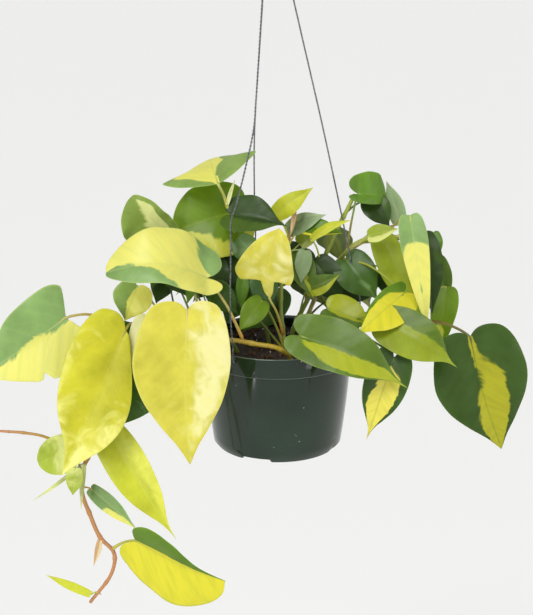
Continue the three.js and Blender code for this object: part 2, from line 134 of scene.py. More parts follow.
LEAVES = {
    "far_left": ("left_stem", 0.99, (-200, -40, 30), (-283, -60, -24), 82, (0.1, -1, 0.3), 6, 10, 0.14,
        "sage_and_yellow", "0000799 0006999 0003899 0014999"),
    "left_large": ("left_stem", 0.82, (-141, -66, 26), (-203, -88, -110), 76, (0, -1, 0.3), 8, 8, 0.08,
        "gold_and_yellow", "22000 31010 42134 53356 66689"),
    "left_dark": ("left_stem", 0.72, (-130, -40, 4), (-174, -48, -92), 88, (0, -1, 0.2), 2, 5, 0.14,
        "moss_and_sage", "00099 00059 00000 00000"),
    "left_cream": ("left_stem", 0.6, (-116, -58, 30), (-116, -68, -44), 46, (0, -1, 0.2), 4, 6, 0.12,
        "cream_and_yellow", "00000 00120 12321 44444"),
    "left_small": ("trailing_vine", 0.68, (-198, -54, -98), (-228, -66, -106), 38, (0, -1, 0.2), 2, 8,
        0.08, "lime_and_pale", "88888 54455 00100"),
    "left_hanging": ("trailing_vine", 0.69, (-193, -66, -112), (-196, -70, -138), 17, (0, -1, 0), 2, 12,
        0.05, "lime_and_pale", "55555 22222"),
    "long_lower": ("trailing_vine", 0.64, (-160, -60, -80), (-97, -82, -178), 42, (0, -1, 0.1), 6, 14,
        0.1, "yellow_green", "00144 00155 00166 00166"),
    "narrow_lower": ("trailing_vine", 0.71, (-182, -42, -144), (-138, -55, -180), 18, (0, -1, 0.2), 2, 10,
        0.04, "sage_and_yellow", "00000 00000 98000 99500 99900"),
    "bottom": ("trailing_vine", 0.86, (-138, -56, -193), (-51, -75, -226), 80, (-0.25, -0.93, -0.27), 3,
        15, 0.08, "moss_and_gold", "9999000 9999000 9999000 9999300"),
    "vine_end": ("trailing_vine", 0.97, (-186, -50, -254), (-229, -56, -229), 9, (0, -1, 0.4), -5, 10, 0,
        "yellow_green", "000"),
    "top_left": ("top_left_stem", 0.97, (-56, -15, 153), (-66, 41, 168), 96, (-0.3, -0.3, 0.9), 3, 2,
        0.14, "green_and_yellow", "0009000 0005900 0006950 0079993 0999999"),
    "upright_left": ("left_stem", 0.45, (-106, -8, 106), (-136, -24, 143), 58, (-0.1, -1, 0.2), 4, 12,
        0.3, "green_and_cream", "0097000 0097300 0595300 0033000"),
    "left_broad": ("trailing_vine", 0.2, (-66, -60, 74), (-155, -80, 84), 68, (0, -0.75, 0.66), 22, 8,
        0.16, "sage_and_yellow", "02999 89999 99990 99800 99300 98000"),
    "behind_left": ("top_left_stem", 0.7, (-40, 12, 122), (-99, 4, 104), 74, (0, -0.85, 0.4), 6, 6, 0.2,
        "olive_and_yellow", "00009 00039 00099 00299"),
    "dark_centre": ("top_left_stem", 0.8, (-45, -10, 123), (9, -25, 115), 42, (0, -0.8, 0.6), 4, 18, 0.12,
        "shade_darkened_green", "98000 98000 95000"),
    "centre_pointed": ("centre_stem", 0.99, (-2, 0, 121), (33, -10, 149), 21, (0, -1, 0.4), 3, 14, 0.06,
        "yellow_green", "04400 03300"),
    "left_upper_small": ("left_stem", 0.66, (-131, -44, 62), (-143, -50, 30), 38, (0, -1, 0.3), 3, 10,
        0.08, "green_and_yellow", "00599 00899 00599"),
    "front_large": ("trailing_vine", 0.26, (-82, -92, 52), (-80, -118, -86), 86, (0, -1, 0.2), 6, 8, 0.06,
        "yellow_and_cream", "0000245 0002686 1010575 0130684 0024552 0000220"),
    "centre_cream": ("centre_stem", 0.35, (-8, -44, 50), (1, -54, 119), 54, (0, -1, 0.2), 7, 12, 0.1,
        "yellow_and_cream", "22222 24432 45242 22110"),
    "centre_left_small": ("top_left_stem", 0.6, (-38, -12, 99), (-16, -22, 77), 26, (0, -0.9, 0.4), 2, 8,
        0.06, "moss_and_sage", "259"),
    "centre_blue_green": ("top_left_stem", 0.56, (-15, -24, 72), (-11, -30, 34), 27, (0, -1, 0.3), 4, 6,
        0.06, "blue_green", "20003"),
    "centre_sage": ("top_left_stem", 0.55, (-32, 10, 86), (-66, 2, 70), 32, (0, -1, 0.3), 4, 6, 0.06,
        "blue_green", "222"),
    "centre_olive": ("centre_stem", 0.25, (-15, -34, 45), (-37, -50, 20), 24, (0, -1, 0.3), 3, 12, 0.06,
        "olive_and_yellow", "000"),
    "centre_right_sage": ("centre_stem", 0.9, (26, -9, 87), (22, -16, 57), 16, (0, -1, 0.2), 2, 0, 0.06,
        "sage", "20002"),
    "centre_top": ("centre_stem", 0.9, (10, 8, 104), (46, 0, 121), 20, (0, -0.8, 0.5), 3, 10, 0.06,
        "sage", "00055"),
    "edge_on": ("top_right_stem", 0.6, (33, -10, 100), (69, -20, 120), 13, (0, -0.6, 0.8), 4, 20, 0.06,
        "yellow_green", "55500"),
    "centre_folded": ("centre_stem", 0.8, (22, 14, 90), (42, 16, 110), 20, (0, -1, 0.3), 2, 20, 0.06,
        "lime_and_pale", "55000"),
    "right_inner": ("top_right_stem", 0.33, (28, -10, 50), (59, -22, 68), 20, (0, -1, 0.2), 2, 12, 0.06,
        "sage_and_lime", "77000"),
    "right_heart": ("right_stem", 0.7, (76, -12, 143), (103, 6, 136), 38, (-0.1, -0.9, 0.35), 5, 4, 0.36,
        "bright_green", "00300"),
    "right_dark": ("top_right_stem", 0.9, (88, 2, 135), (107, -10, 109), 28, (0.2, -1, 0.2), 2, 14, 0.1,
        "shade_darkened_green", "00044"),
    "right_sage": ("right_stem", 0.72, (117, 4, 112), (104, 14, 151), 18, (0, -1, 0.1), 2, 12, 0.04,
        "sage", "00400"),
    "right_lime": ("right_stem", 0.62, (86, -18, 104), (112, -28, 113), 18, (0, -0.8, 0.5), 2, 18, 0.06,
        "lime_and_pale", "77200"),
    "right_olive": ("right_stem", 0.78, (99, -4, 98), (140, -24, 20), 32, (0, -1, 0.1), 3, 14, 0.06,
        "lime_and_green", "00004 00006 00008"),
    "right_long": ("right_stem", 0.93, (122, -32, 126), (138, -60, 28), 27, (0, -1, 0.1), 5, 14, 0.06,
        "sage_and_yellow", "00000 00000 39996 99899 99398 99969 99999"),
    "right_green": ("right_stem", 0.98, (139, -6, 100), (147, -28, 30), 31, (0.1, -1, 0.1), 3, 14, 0.08,
        "shade_darkened_green", "00033"),
    "right_tail": ("right_stem", 0.88, (155, 16, 74), (168, 8, 32), 22, (0.1, -1, 0.1), 2, 12, 0.06,
        "sage_and_lime", "00222"),
    "right_outer": ("right_low_stem", 0.85, (163, -2, 50), (153, -6, -22), 28, (0.1, -1, 0.1), 3, 14,
        0.06, "olive_and_yellow", "00000 00020 38840 99999"),
    "right_small_lime": ("right_stem", 0.55, (101, 10, 68), (118, 4, 75), 19, (0, -1, 0.3), 2, 10, 0.06,
        "lime_and_green", "000"),
    "right_yellow": ("right_stem", 0.66, (116, -50, 56), (66, -100, 28), 38, (0, -1, 0.3), 5, 12, 0.12,
        "moss_and_gold", "03799 07999 29999 29999"),
    "right_shaded": ("right_stem", 0.3, (58, 30, 30), (90, 24, 57), 26, (0, -1, 0.2), 2, 8, 0.12,
        "shade_darkened_green", "000"),
    "front_long": ("right_low_stem", 0.25, (20, -84, 26), (117, -110, -16), 50, (0, -0.85, 0.5), 14, 10,
        0.1, "sage_and_lime", "0050000 0393000 0894000 0995000 0999500 5999500"),
    "front_lime": ("right_low_stem", 0.5, (100, -74, 34), (162, -94, -1), 46, (0, -0.85, 0.5), 7, 10,
        0.14, "lime_and_green", "00079 00089 00068 00004"),
    "front_hanging": ("right_low_stem", 0.4, (105, -88, 6), (80, -108, -66), 42, (0, -1, 0.1), 5, 12, 0.1,
        "night_and_cream", "00200 03960 05980 29970 79960"),
    "right_large": ("right_low_stem", 0.99, (180, -50, 14), (212, -66, -92), 88, (0, -1, 0.2), 6, 7, 0.07,
        "night_and_yellow", "0009000 0005400 0004820 0028930 0389950 7999980"),
}

# Small leaves and papery sheaths, in the same words: the sheaths cling to their stem.
SMALL_LEAVES = {
    "leaf_centre_down": ("centre_stem", 0.3, (-33, -16, 64), (-35, -22, 34), 13, (0, -1, 0), 2, 14, 0.06,
        "bright_green", "000"),
    "leaf_left_green_tip": ("left_stem", 0.4, (-78, -40, 69), (-85, -46, 45), 11, (0, -1, 0), 2, 16, 0.06,
        "bright_green", "000"),
    "leaf_right_bright": ("right_stem", 0.98, (150, 6, 102), (153, -2, 77), 15, (0, -1, 0), 2, 12, 0.06,
        "bright_green", "00200"),
    "leaf_left_shaded": ("left_stem", 0.6, (-108, 4, 62), (-118, -4, 34), 24, (0, -1, 0.2), 2, 10, 0.08,
        "shade_darkened_green", "000"),
    "leaf_right_behind": ("right_stem", 0.6, (98, 14, 58), (138, 8, 18), 18, (0, -1, 0.2), 3, 14, 0.06,
        "shade_darkened_green", "000"),
    "leaf_inner_back": ("top_left_stem", 0.45, (-62, 26, 64), (-84, 22, 28), 34, (0, -1, 0.3), 3, 10, 0.1,
        "shade_darkened_green", "000"),
    "leaf_middle_back": ("centre_stem", 0.55, (-6, 14, 66), (-22, 10, 30), 30, (0, -1, 0.3), 3, 10, 0.1,
        "moss_and_sage", "000"),
    "leaf_back_left": ("top_left_stem", 0.5, (-62, 44, 58), (-104, 66, 24), 52, (-0.4, 0.7, 0.6), 5, 10,
        0.12, "green_and_yellow", "00900 00950 00900"),
    "leaf_back_right": ("right_stem", 0.35, (62, 52, 52), (98, 70, 6), 50, (0.4, 0.8, 0.5), 5, 10, 0.12,
        "night_and_yellow", "00000 00590 00990"),
    "leaf_crown_left": ("top_left_stem", 0.5, (-56, 6, 92), (-92, -2, 62), 42, (0, -1, 0.3), 4, 10, 0.1,
        "shade_darkened_green", "00200"),
    "leaf_crown_inner_left": ("centre_stem", 0.3, (-32, 0, 54), (-52, -16, 14), 34, (0, -1, 0.2), 3, 10,
        0.1, "moss_and_sage", "00300"),
    "leaf_crown_low": ("centre_stem", 0.35, (-2, 6, 46), (-36, -8, 4), 46, (0, -1, 0.4), 5, 10, 0.1,
        "moss_and_sage", "000"),
    "leaf_crown_middle": ("centre_stem", 0.75, (18, -2, 84), (34, -14, 42), 26, (0.2, -1, 0.1), 3, 14,
        0.06, "sage_and_lime", "00700 00900 00900"),
    "leaf_crown_back": ("top_right_stem", 0.5, (24, 14, 84), (2, 10, 46), 40, (0, -1, 0.2), 3, 10, 0.08,
        "shade_darkened_green", "000"),
    "leaf_crown_right": ("top_right_stem", 0.45, (36, 2, 74), (62, -8, 36), 36, (0, -1, 0.2), 4, 10, 0.08,
        "shade_darkened_green", "00400"),
    "leaf_crown_outer": ("right_stem", 0.5, (66, 0, 76), (98, -12, 38), 40, (0, -1, 0.4), 6, 10, 0.1,
        "moss_and_sage", "00300 00500"),
    "leaf_crown_lime": ("right_low_stem", 0.35, (48, -28, 36), (92, -44, 22), 36, (0, -0.8, 0.6), 5, 8,
        0.1, "sage_and_lime", "00999 00999"),
    "leaf_crown_far_right": ("right_stem", 0.8, (104, -2, 88), (136, -12, 40), 30, (0, -1, 0.2), 4, 10,
        0.08, "moss_and_sage", "00500"),
    "leaf_crown_shadow": ("right_stem", 0.4, (84, 12, 66), (58, 6, 26), 44, (0, -1, 0.2), 3, 10, 0.1,
        "shade_darkened_green", "000"),
    "leaf_crown_top_right": ("centre_stem", 0.95, (24, 4, 108), (62, -6, 104), 20, (0, -0.8, 0.6), 4, 14,
        0.06, "moss_and_gold", "90000 90000"),
    "leaf_crown_rear": ("centre_stem", 0.5, (2, 20, 62), (-30, 44, 22), 46, (-0.2, 0.8, 0.5), 4, 10, 0.1,
        "moss_and_gold", "00900 00990 00900"),
    "leaf_crown_rear_right": ("top_right_stem", 0.4, (30, 24, 56), (52, 52, 12), 48, (0.1, 0.9, 0.4), 4,
        10, 0.12, "night_and_yellow", "00000 00550 00990"),
    "leaf_crown_rear_top": ("top_right_stem", 0.7, (50, 20, 100), (66, 44, 60), 38, (0.2, 0.8, 0.4), 4,
        10, 0.1, "sage_and_lime", "00900 00990 00900"),
    "leaf_crown_rear_left": ("top_left_stem", 0.7, (-50, 24, 96), (-70, 48, 54), 44, (-0.2, 0.8, 0.4), 4,
        10, 0.12, "yellow_green", "00900 00550"),
    "leaf_crown_left_low": ("left_stem", 0.4, (-101, -16, 80), (-84, -24, 43), 34, (0, -1, 0.3), 3, 10,
        0.1, "shade_darkened_green", "00300"),
    "leaf_crown_left_inner": ("top_left_stem", 0.4, (-69, -8, 78), (-50, -18, 40), 36, (0, -1, 0.3), 3,
        10, 0.1, "shade_darkened_green", "00300"),
    "leaf_crown_left_outer": ("left_stem", 0.5, (-113, -6, 80), (-121, -10, 49), 26, (0, -1, 0.3), 3, 10,
        0.1, "moss_and_sage", "00300"),
    "leaf_crown_left_middle": ("top_left_stem", 0.35, (-32, 0, 79), (-46, -8, 47), 34, (0, -1, 0.3), 3,
        10, 0.1, "shade_darkened_green", "00300"),
    "leaf_crown_left_base": ("centre_stem", 0.25, (-61, -20, 54), (-36, -30, 29), 26, (0, -1, 0.3), 3, 10,
        0.1, "moss_and_sage", "00300"),
    "leaf_sprout": ("top_left_stem", 0.99, (-48, -8, 132), (-40, -14, 158), 4.5, (0, -1, 0), -2, 30, 0,
        "green_sheath", "444"),
    "sheath_long": ("trailing_vine", 0.66, (-196, -52, -120), (-238, -60, -149), 4.5, (0, -1, 0.5), -5,
        30, 0, "green_sheath", "00333"),
    "sheath_hanging": ("trailing_vine", 0.69, (-186, -56, -112), (-190, -62, -157), 6, (0, -1, 0), -3, 24,
        0, "green_sheath", "44444 33333"),
    "sheath_dry": ("trailing_vine", 0.84, (-175, -47, -196), (-182, -51, -223), 7, (0, -1, 0.2), -3, 20,
        0, "dry_sheath", "00499"),
    "sheath_top": ("centre_stem", 0.97, (16, -8, 126), (12, -12, 103), 5, (0, -1, 0), -2, 24, 0,
        "dry_sheath", "44400"),
}

# Wires between the neck and the lip: azimuth of the hole, and the way through the leaves.
WIRES = {
    "hanger_wire_front_left": (238, [
        (-20.3, -27, 232), (-22.5, -33, 206), (-30.4, -37, 170), (-38.8, -42, 138),
        (-43.4, -46, 123), (-43.5, -56, 96), (-44, -67, 40)]),
    "hanger_wire_right": (358, [(42.3, -1, 202), (60, -2, 124), (72.1, -3, 69), (79.5, -3, 40)]),
    "hanger_wire_rear": (118, [(-22.3, 34, 196), (-22.7, 45, 127), (-22, 53, 85), (-31, 64, 32)]),
}

# The hanger's sizes, as the frame has them
NECK_X = -8.0
WIRE_RADIUS = 0.9
HOOK_WIRE_RADIUS = 1.3
HOOK_INSIDE_RADIUS = 14.0
NECK_TO_HOOK = 65.0
WRAP_TURNS = 6
WRAP_LENGTH = 20.0
WIRE_HOLE_DROP = 6.0
WIRE_HOLE_RADIUS = 1.7
WIRE_STANDOFF = 2.0
WIRE_END_INSIDE = 9.0
CLEARANCE = 0.3
TWIST_PITCH = 7.0
PLAIN_WIRE_SHARE = 0.8          # the untwisted wires look thinner than the frame's

# The pot's sizes, as the frame has them
WALL = 1.8
LIP_HEIGHT = 19.5
LIP_TAPER = 1.0
LIP_GAP = 1.2
BASE_RADIUS = RIM_RADIUS - 13
WALL_SWELL = 1.5
FLOOR_LIFT = 7.0
FOOT_INSET = 2.0
NOTCH_AZIMUTH = 250
NOTCH_WIDTH = 27.0
NOTCH_RISE = 5.5
NOTCH_SLOPE = 4.0               # each end of a notch slopes over this width
DRAIN_HOLE_RADIUS = 4.0
DRAIN_HOLE_INSET = 19.0
SOIL_DEPTH = 11.0
SOIL_CROWN = 3.0
POT_SEGMENTS = 192
SOIL_SEGMENTS = 150
RIM_ROUND = WALL / 2
LIP_ROUND = 0.8
FOOT_ROUND = 1.2
LIP_THICKNESS = WALL + 0.5      # under the rim, where the lip joins the wall
EDGE_BAND = 4.0                 # the wall's ends, kept clear of the lip and of the foot
AXIS_RADIUS = 0.01              # the pole of a turned piece
SHARP_EDGE = 40                 # degrees

PETIOLE_RADIUS = 0.7
PETIOLE_GAIN = 0.007            # added for each millimetre of the blade's width
LEAF_HALF_THICKNESS = 0.28
BLADE_LINES = 40                # lines across a blade, and the points on each
BLADE_COLUMNS = 23

# Stems swell at their nodes, and root nubs stand halfway between two nodes
FIRST_NODE = 5.0
NODE_SPACING = 28.0
NODE_LENGTH = 2.2
NODE_SWELL = 0.28


# ---------------------------------------------------------------------------------------------
# Curves and surfaces
# ---------------------------------------------------------------------------------------------
def hung(points):
    """Millimetres in the pot's frame to metres in the row's frame."""
    return (np.asarray(points, float) + RIM_CENTRE) / 1000


def unit(vectors):
    """The vectors divided by their own lengths."""
    return vectors / np.linalg.norm(vectors, axis=-1, keepdims=True)


def around(count):
    """Equal angles round one full turn."""
    return np.linspace(0, 2 * np.pi, count, endpoint=False)


def heading(degrees):
    """The level direction at that azimuth."""
    turn = math.radians(degrees)
    return np.array([math.cos(turn), math.sin(turn), 0])


def smooth_route(points, per_span):
    """A centripetal Catmull-Rom curve: each span is the cubic that leaves its first point and meets
    its last with slopes weighed by the square roots of the distances between the points."""
    p = np.asarray(points, float)
    p = np.vstack([2 * p[0] - p[1], p, 2 * p[-1] - p[-2]])
    gap = np.sqrt(np.linalg.norm(np.diff(p, axis=0), axis=1))[:, None]
    a, b, c, d = p[:-3], p[1:-2], p[2:-1], p[3:]
    before, here, after = gap[:-2], gap[1:-1], gap[2:]
    leave = here * ((b - a) / before - (c - a) / (before + here) + (c - b) / here)
    meet = here * ((c - b) / here - (d - b) / (here + after) + (d - c) / after)
    t = np.linspace(0, 1, per_span, endpoint=False)[:, None, None]
    curve = b + t * leave + t**2 * (3 * (c - b) - 2 * leave - meet) + t**3 * (2 * (b - c) + leave + meet)
    return np.vstack([curve.transpose(1, 0, 2).reshape(-1, 3), p[-2]])


def lengths_along(path):
    """The distance from the start of the path to each of its points."""
    return np.concatenate([[0], np.cumsum(np.linalg.norm(np.diff(path, axis=0), axis=1))])


def at_lengths(path, reach, stops):
    """The path's points at the given distances from its start, by straight lines between its own."""
    return np.stack([np.interp(stops, reach, way) for way in path.T], -1)


def point_at(path, share):
    """The point that lies that share of the path's length from its start."""
    reach = lengths_along(path)
    return at_lengths(path, reach, share * reach[-1])


def frame_of(path):
    """Two directions square to the path at each point, turned as little as a fixed reference allows:
    the reference is the direction that the path's tangents lean on least."""
    tangent = unit(np.gradient(path, axis=0))
    reference = np.linalg.eigh(tangent.T @ tangent)[1][:, 0]
    side = unit(np.cross(tangent, reference))
    return side, np.cross(tangent, side)


def grid_faces(rows, columns, closed):
    """The four-sided faces between a grid's neighbouring points. Closed grids join their last
    column to their first."""
    row, column = np.meshgrid(np.arange(rows - 1), np.arange(columns if closed else columns - 1))
    beside = (column + 1) % columns
    corners = (row * columns + column, row * columns + beside,
               (row + 1) * columns + beside, (row + 1) * columns + column)
    return np.stack(corners, -1).reshape(-1, 4)


def ringed(points):
    """A part from rows of points that run round a ring, with its first and last ring capped."""
    rows, columns = points.shape[:2]
    ring = np.arange(columns)
    return {"points": points.reshape(-1, 3), "faces": grid_faces(rows, columns, closed=True),
            "caps": (ring, ring + (rows - 1) * columns)}


def tube(path, radius, sides=12):
    """A circle carried along the path. Its radius follows the given widths, and both ends are drawn
    in over one radius as a half round, then closed."""
    path = np.asarray(path, float)
    radius = np.asarray(radius, float)
    reach = lengths_along(path)
    cap = np.minimum(reach, reach[-1] - reach) / radius
    shown = radius * np.sqrt(np.clip(1 - (1 - np.clip(cap, 0, 1)) ** 2, 0.02, 1))
    side, other = frame_of(path)
    angle = around(sides)[None, :, None]
    ring = np.cos(angle) * side[:, None] + np.sin(angle) * other[:, None]
    part = ringed(path[:, None] + shown[:, None, None] * ring)
    part["reach"] = np.repeat(reach / reach[-1], sides)
    return part


def with_ends(path, radius):
    """The path with two more points close to each end, so that a tube's round ends have rings."""
    reach = lengths_along(path)
    extra = radius * np.array([0.1, 0.35])
    return at_lengths(path, reach, np.unique(np.concatenate([reach, extra, reach[-1] - extra])))


def turned(profile, segments):
    """A closed outline of (radius, height) turned round the pot's axis."""
    r, z = np.asarray(profile, float).T[..., None]
    angle = around(segments)
    return np.stack([r * np.cos(angle), r * np.sin(angle), z + 0 * angle], -1)


def into_scene(name, data):
    """An object that shows the data, put in the scene at the origin."""
    made = bpy.data.objects.new(name, data)
    bpy.context.scene.collection.objects.link(made)
    return made


def piece(name, parts, materials, replaces=(), smooth=True):
    """One closed mesh from several parts, each with its points, faces, caps and the number of its
    material. A part's other arrays become the mesh's point attributes, and pairs its UV map."""
    starts = np.cumsum([0] + [len(part["points"]) for part in parts])
    faces, of_face = [], []
    for part, start in zip(parts, starts):
        faces += (part["faces"] + start).tolist()
        faces += [(cap + start).tolist() for cap in part.get("caps", ())]
        of_face += [part.get("material", 0)] * (len(faces) - len(of_face))
    mesh = bpy.data.meshes.new(name)
    mesh.from_pydata(hung(np.vstack([part["points"] for part in parts])).tolist(), [], faces)
    mesh.polygons.foreach_set("material_index", of_face)
    mesh.polygons.foreach_set("use_smooth", [smooth] * len(faces))
    own = {key for part in parts for key in part} - {"points", "faces", "caps", "material", "uv"}
    for key in sorted(own):
        values = np.concatenate([part.get(key, np.zeros(len(part["points"]))) for part in parts])
        mesh.attributes.new(key, "FLOAT", "POINT").data.foreach_set("value", values.astype(np.float32))
    if any("uv" in part for part in parts):
        uv = np.vstack([part.get("uv", np.zeros((len(part["points"]), 2))) for part in parts])
        corner = np.zeros(len(mesh.loops), int)
        mesh.loops.foreach_get("vertex_index", corner)
        mesh.uv_layers.new(name="blade").data.foreach_set("uv", uv[corner].astype(np.float32).ravel())
    for look in materials:
        mesh.materials.append(look)
    shape = bmesh.new()
    shape.from_mesh(mesh)
    bmesh.ops.recalc_face_normals(shape, faces=shape.faces)
    shape.to_mesh(mesh)
    shape.free()
    made = into_scene(name, mesh)
    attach(made, "root")
    if replaces:
        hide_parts(*replaces)
    return made


# ---------------------------------------------------------------------------------------------
# Materials
# ---------------------------------------------------------------------------------------------
def linear(colour):
    """An sRGB hex colour as linear RGBA."""
    srgb = np.array([int(colour[at:at + 2], 16) for at in (1, 3, 5)]) / 255
    return (*np.where(srgb <= 0.04045, srgb / 12.92, ((srgb + 0.055) / 1.055) ** 2.4), 1)


def cells(millimetres):
    """The scale that makes a pattern's cells that wide, on coordinates in metres."""
    return 1000 / millimetres


def fill(tree, made, inputs):
    """Fills a node's inputs: each with a value, or with a link from another node's output."""
    for key, value in inputs.items():
        if isinstance(value, bpy.types.NodeSocket):
            tree.links.new(value, made.inputs[key])
        else:
            made.inputs[key].default_value = value


def node(tree, kind, inputs=None, stops=(), **settings):
    """Adds a shader node with its settings and inputs, and with the stops of its colour ramp."""
    made = tree.nodes.new("ShaderNode" + kind)
    for key, value in settings.items():
        setattr(made, key, value)
    fill(tree, made, inputs or {})
    for at, (position, colour) in enumerate(stops):
        made.color_ramp.elements[at].position = position
        made.color_ramp.elements[at].color = colour
    return made


def new_material(name):
    """An empty material, its node tree and its Principled surface."""
    made = bpy.data.materials.new(name)
    made.use_nodes = True
    return made, made.node_tree, made.node_tree.nodes["Principled BSDF"]


def leaf_material(name, ground, patch, margin, softness):
    """Live leaf blade with its waxy cuticle. The patches are ragged along the side veins, the veins
    lie in fine grooves, and the thin margin and the midrib are paler. UV is the distance along and
    across the blade in decimetres; share, edge and under are the blade's own attributes."""
    made, tree, surface = new_material(name)
    coordinates = node(tree, "TexCoord").outputs
    place = node(tree, "SeparateXYZ", {"Vector": coordinates["UV"]}).outputs
    along, across = place["X"], place["Y"]
    share, edge, under = (node(tree, "Attribute", attribute_name=key).outputs["Fac"]
                          for key in ("share", "edge", "under"))
    aside = node(tree, "Math", {0: across}, operation="ABSOLUTE").outputs[0]
    # side veins leave the midrib at about 50 degrees
    vein = node(tree, "Math", {0: aside, 1: -0.85, 2: along}, operation="MULTIPLY_ADD").outputs[0]
    flow = node(tree, "CombineXYZ", {"X": vein, "Y": across, "Z": aside})
    # streaks about 8 mm wide and 25 mm long
    streaks = node(tree, "Mapping", {"Vector": flow.outputs[0], "Scale": (13, 4, 1)})
    ragged = node(tree, "TexNoise", {"Vector": streaks.outputs[0], "Scale": 1.0, "Detail": 2.5,
                                     "Roughness": 0.55}).outputs["Fac"]
    # soft patches swirl instead, in wisps about 20 mm across
    wisps = node(tree, "TexNoise", {"Vector": coordinates["Object"], "Scale": cells(20.83),
                                    "Detail": 2.0, "Distortion": 1.6}).outputs["Fac"]
    stray = 0.4 + 1.1 * softness
    wander = node(tree, "Math", {0: wisps if softness > 0.3 else ragged, 1: stray, 2: share},
                  operation="MULTIPLY_ADD").outputs[0]
    halfway, blend = 0.5 + 0.5 * stray, 0.04 + 0.45 * softness
    patched = node(tree, "MapRange",
                   {"Value": wander, "From Min": halfway - blend, "From Max": halfway + blend},
                   interpolation_type="SMOOTHSTEP").outputs[0]
    # soft tone changes up to 40 mm across, as between young and shaded tissue
    cloud = node(tree, "TexNoise", {"Vector": coordinates["Object"], "Scale": cells(38.46),
                                    "Detail": 5.0, "Roughness": 0.6}).outputs["Fac"]
    deep = tuple(channel * 0.7 for channel in linear(ground)[:3]) + (1,)
    pale = tuple(min(channel * 1.12 + 0.01, 1) for channel in linear(ground)[:3]) + (1,)
    mottle = node(tree, "Mix", {"Factor": 0.16, "A": cloud, "B": ragged},
                  data_type="FLOAT").outputs["Result"]
    toned = node(tree, "ValToRGB", {"Fac": mottle}, stops=((0.3, deep), (0.68, pale))).outputs["Color"]
    # faint streaks of the ground colour run through the patches
    tinge = node(tree, "MapRange", {"Value": ragged, "From Min": 0.42, "From Max": 0.75,
                                    "To Min": 0.0, "To Max": 0.22}).outputs[0]
    tinted = node(tree, "Mix", {"Factor": tinge, "A": linear(patch), "B": pale},
                  data_type="RGBA").outputs["Result"]
    blade = node(tree, "Mix", {"Factor": patched, "A": toned, "B": tinted},
                 data_type="RGBA").outputs["Result"]
    # side veins 14 mm apart along the midrib, drawn as fine pale lines
    nearest = node(tree, "Math", {0: vein, 1: 0.07}, operation="PINGPONG").outputs[0]
    line = node(tree, "MapRange", {"Value": nearest, "From Min": 0.001, "From Max": 0.009,
                                   "To Min": 1.0, "To Max": 0.0},
                interpolation_type="SMOOTHSTEP").outputs[0]
    faint = node(tree, "Math", {0: line, 1: 0.06}, operation="MULTIPLY").outputs[0]
    rib = node(tree, "MapRange", {"Value": aside, "From Min": 0.003, "From Max": 0.011,
                                  "To Min": 0.25, "To Max": 0.0},
               interpolation_type="SMOOTHSTEP").outputs[0]
    lines = node(tree, "Math", {0: rib, 1: faint}, operation="MAXIMUM").outputs[0]
    veined = node(tree, "Mix", {"Factor": lines, "A": blade, "B": linear(margin)},
                  data_type="RGBA").outputs["Result"]
    rim = node(tree, "MapRange", {"Value": edge, "From Min": 0.95, "From Max": 1.0,
                                  "To Min": 0.0, "To Max": 0.5}).outputs[0]
    edged = node(tree, "Mix", {"Factor": rim, "A": veined, "B": linear(margin)},
                 data_type="RGBA").outputs["Result"]
    # the underside is paler and greyer, and rougher than the waxy upper side
    dulled = node(tree, "Math", {0: under, 1: 0.3}, operation="MULTIPLY").outputs[0]
    whole = node(tree, "Mix", {"Factor": dulled, "A": edged, "B": linear("#c3cf9a")},
                 data_type="RGBA").outputs["Result"]
    wax = node(tree, "Math", {0: under, 1: 0.18, 2: 0.36}, operation="MULTIPLY_ADD").outputs[0]
    # the blade quilts up between its veins by about 0.3 mm, shown at a third of its strength
    quilt = node(tree, "Math", {0: nearest, 1: 12.0}, operation="MULTIPLY").outputs[0]
    grain = node(tree, "Math", {0: ragged, 1: 0.5, 2: quilt}, operation="MULTIPLY_ADD").outputs[0]
    bump = node(tree, "Bump", {"Height": grain, "Strength": 0.3, "Distance": 0.0004}).outputs["Normal"]
    fill(tree, surface, {
        "Base Color": whole, "Roughness": wax, "Normal": bump, "IOR": 1.45, "Specular IOR Level": 0.3,
        "Subsurface Weight": 0.12, "Subsurface Radius": (0.6, 1.0, 0.2), "Subsurface Scale": 0.002})
    return made


def stalk_material(name, near_stem, near_leaf, bark=False):
    """Leaf stalks and stems: smooth waxy skin, changing from one colour to the other along the
    piece, with fine flecks. A woody vine is rougher, and its flecks are finer and stronger."""
    made, tree, surface = new_material(name)
    reach = node(tree, "Attribute", attribute_name="reach").outputs["Fac"]
    # flecks from patches about 2.4 mm across in bark, and 5.6 mm in skin
    spot = node(tree, "TexNoise", {"Vector": node(tree, "TexCoord").outputs["Object"],
                                   "Scale": cells(2.381 if bark else 5.556),
                                   "Detail": 3.0}).outputs["Fac"]
    shift = node(tree, "Math", {0: spot, 1: 0.5, 2: reach}, operation="MULTIPLY_ADD").outputs[0]
    turn = node(tree, "MapRange", {"Value": shift, "From Min": 0.3, "From Max": 1.1}).outputs[0]
    skin = node(tree, "Mix", {"Factor": turn, "A": linear(near_stem), "B": linear(near_leaf)},
                data_type="RGBA").outputs["Result"]
    fleck = node(tree, "MapRange", {"Value": spot, "From Min": 0.55, "From Max": 0.75,
                                    "To Min": 0.0, "To Max": 0.5 if bark else 0.22}).outputs[0]
    flecked = node(tree, "Mix", {"Factor": fleck, "A": skin,
                                 "B": linear("#6b4420" if bark else "#8c7a34")},
                   data_type="RGBA").outputs["Result"]
    bump = node(tree, "Bump", {"Height": spot, "Strength": 0.3, "Distance": 0.0003}).outputs["Normal"]
    fill(tree, surface, {"Base Color": flecked, "Normal": bump, "Roughness": 0.5 if bark else 0.38,
                         "Subsurface Weight": 0.05, "Subsurface Scale": 0.001})
    return made


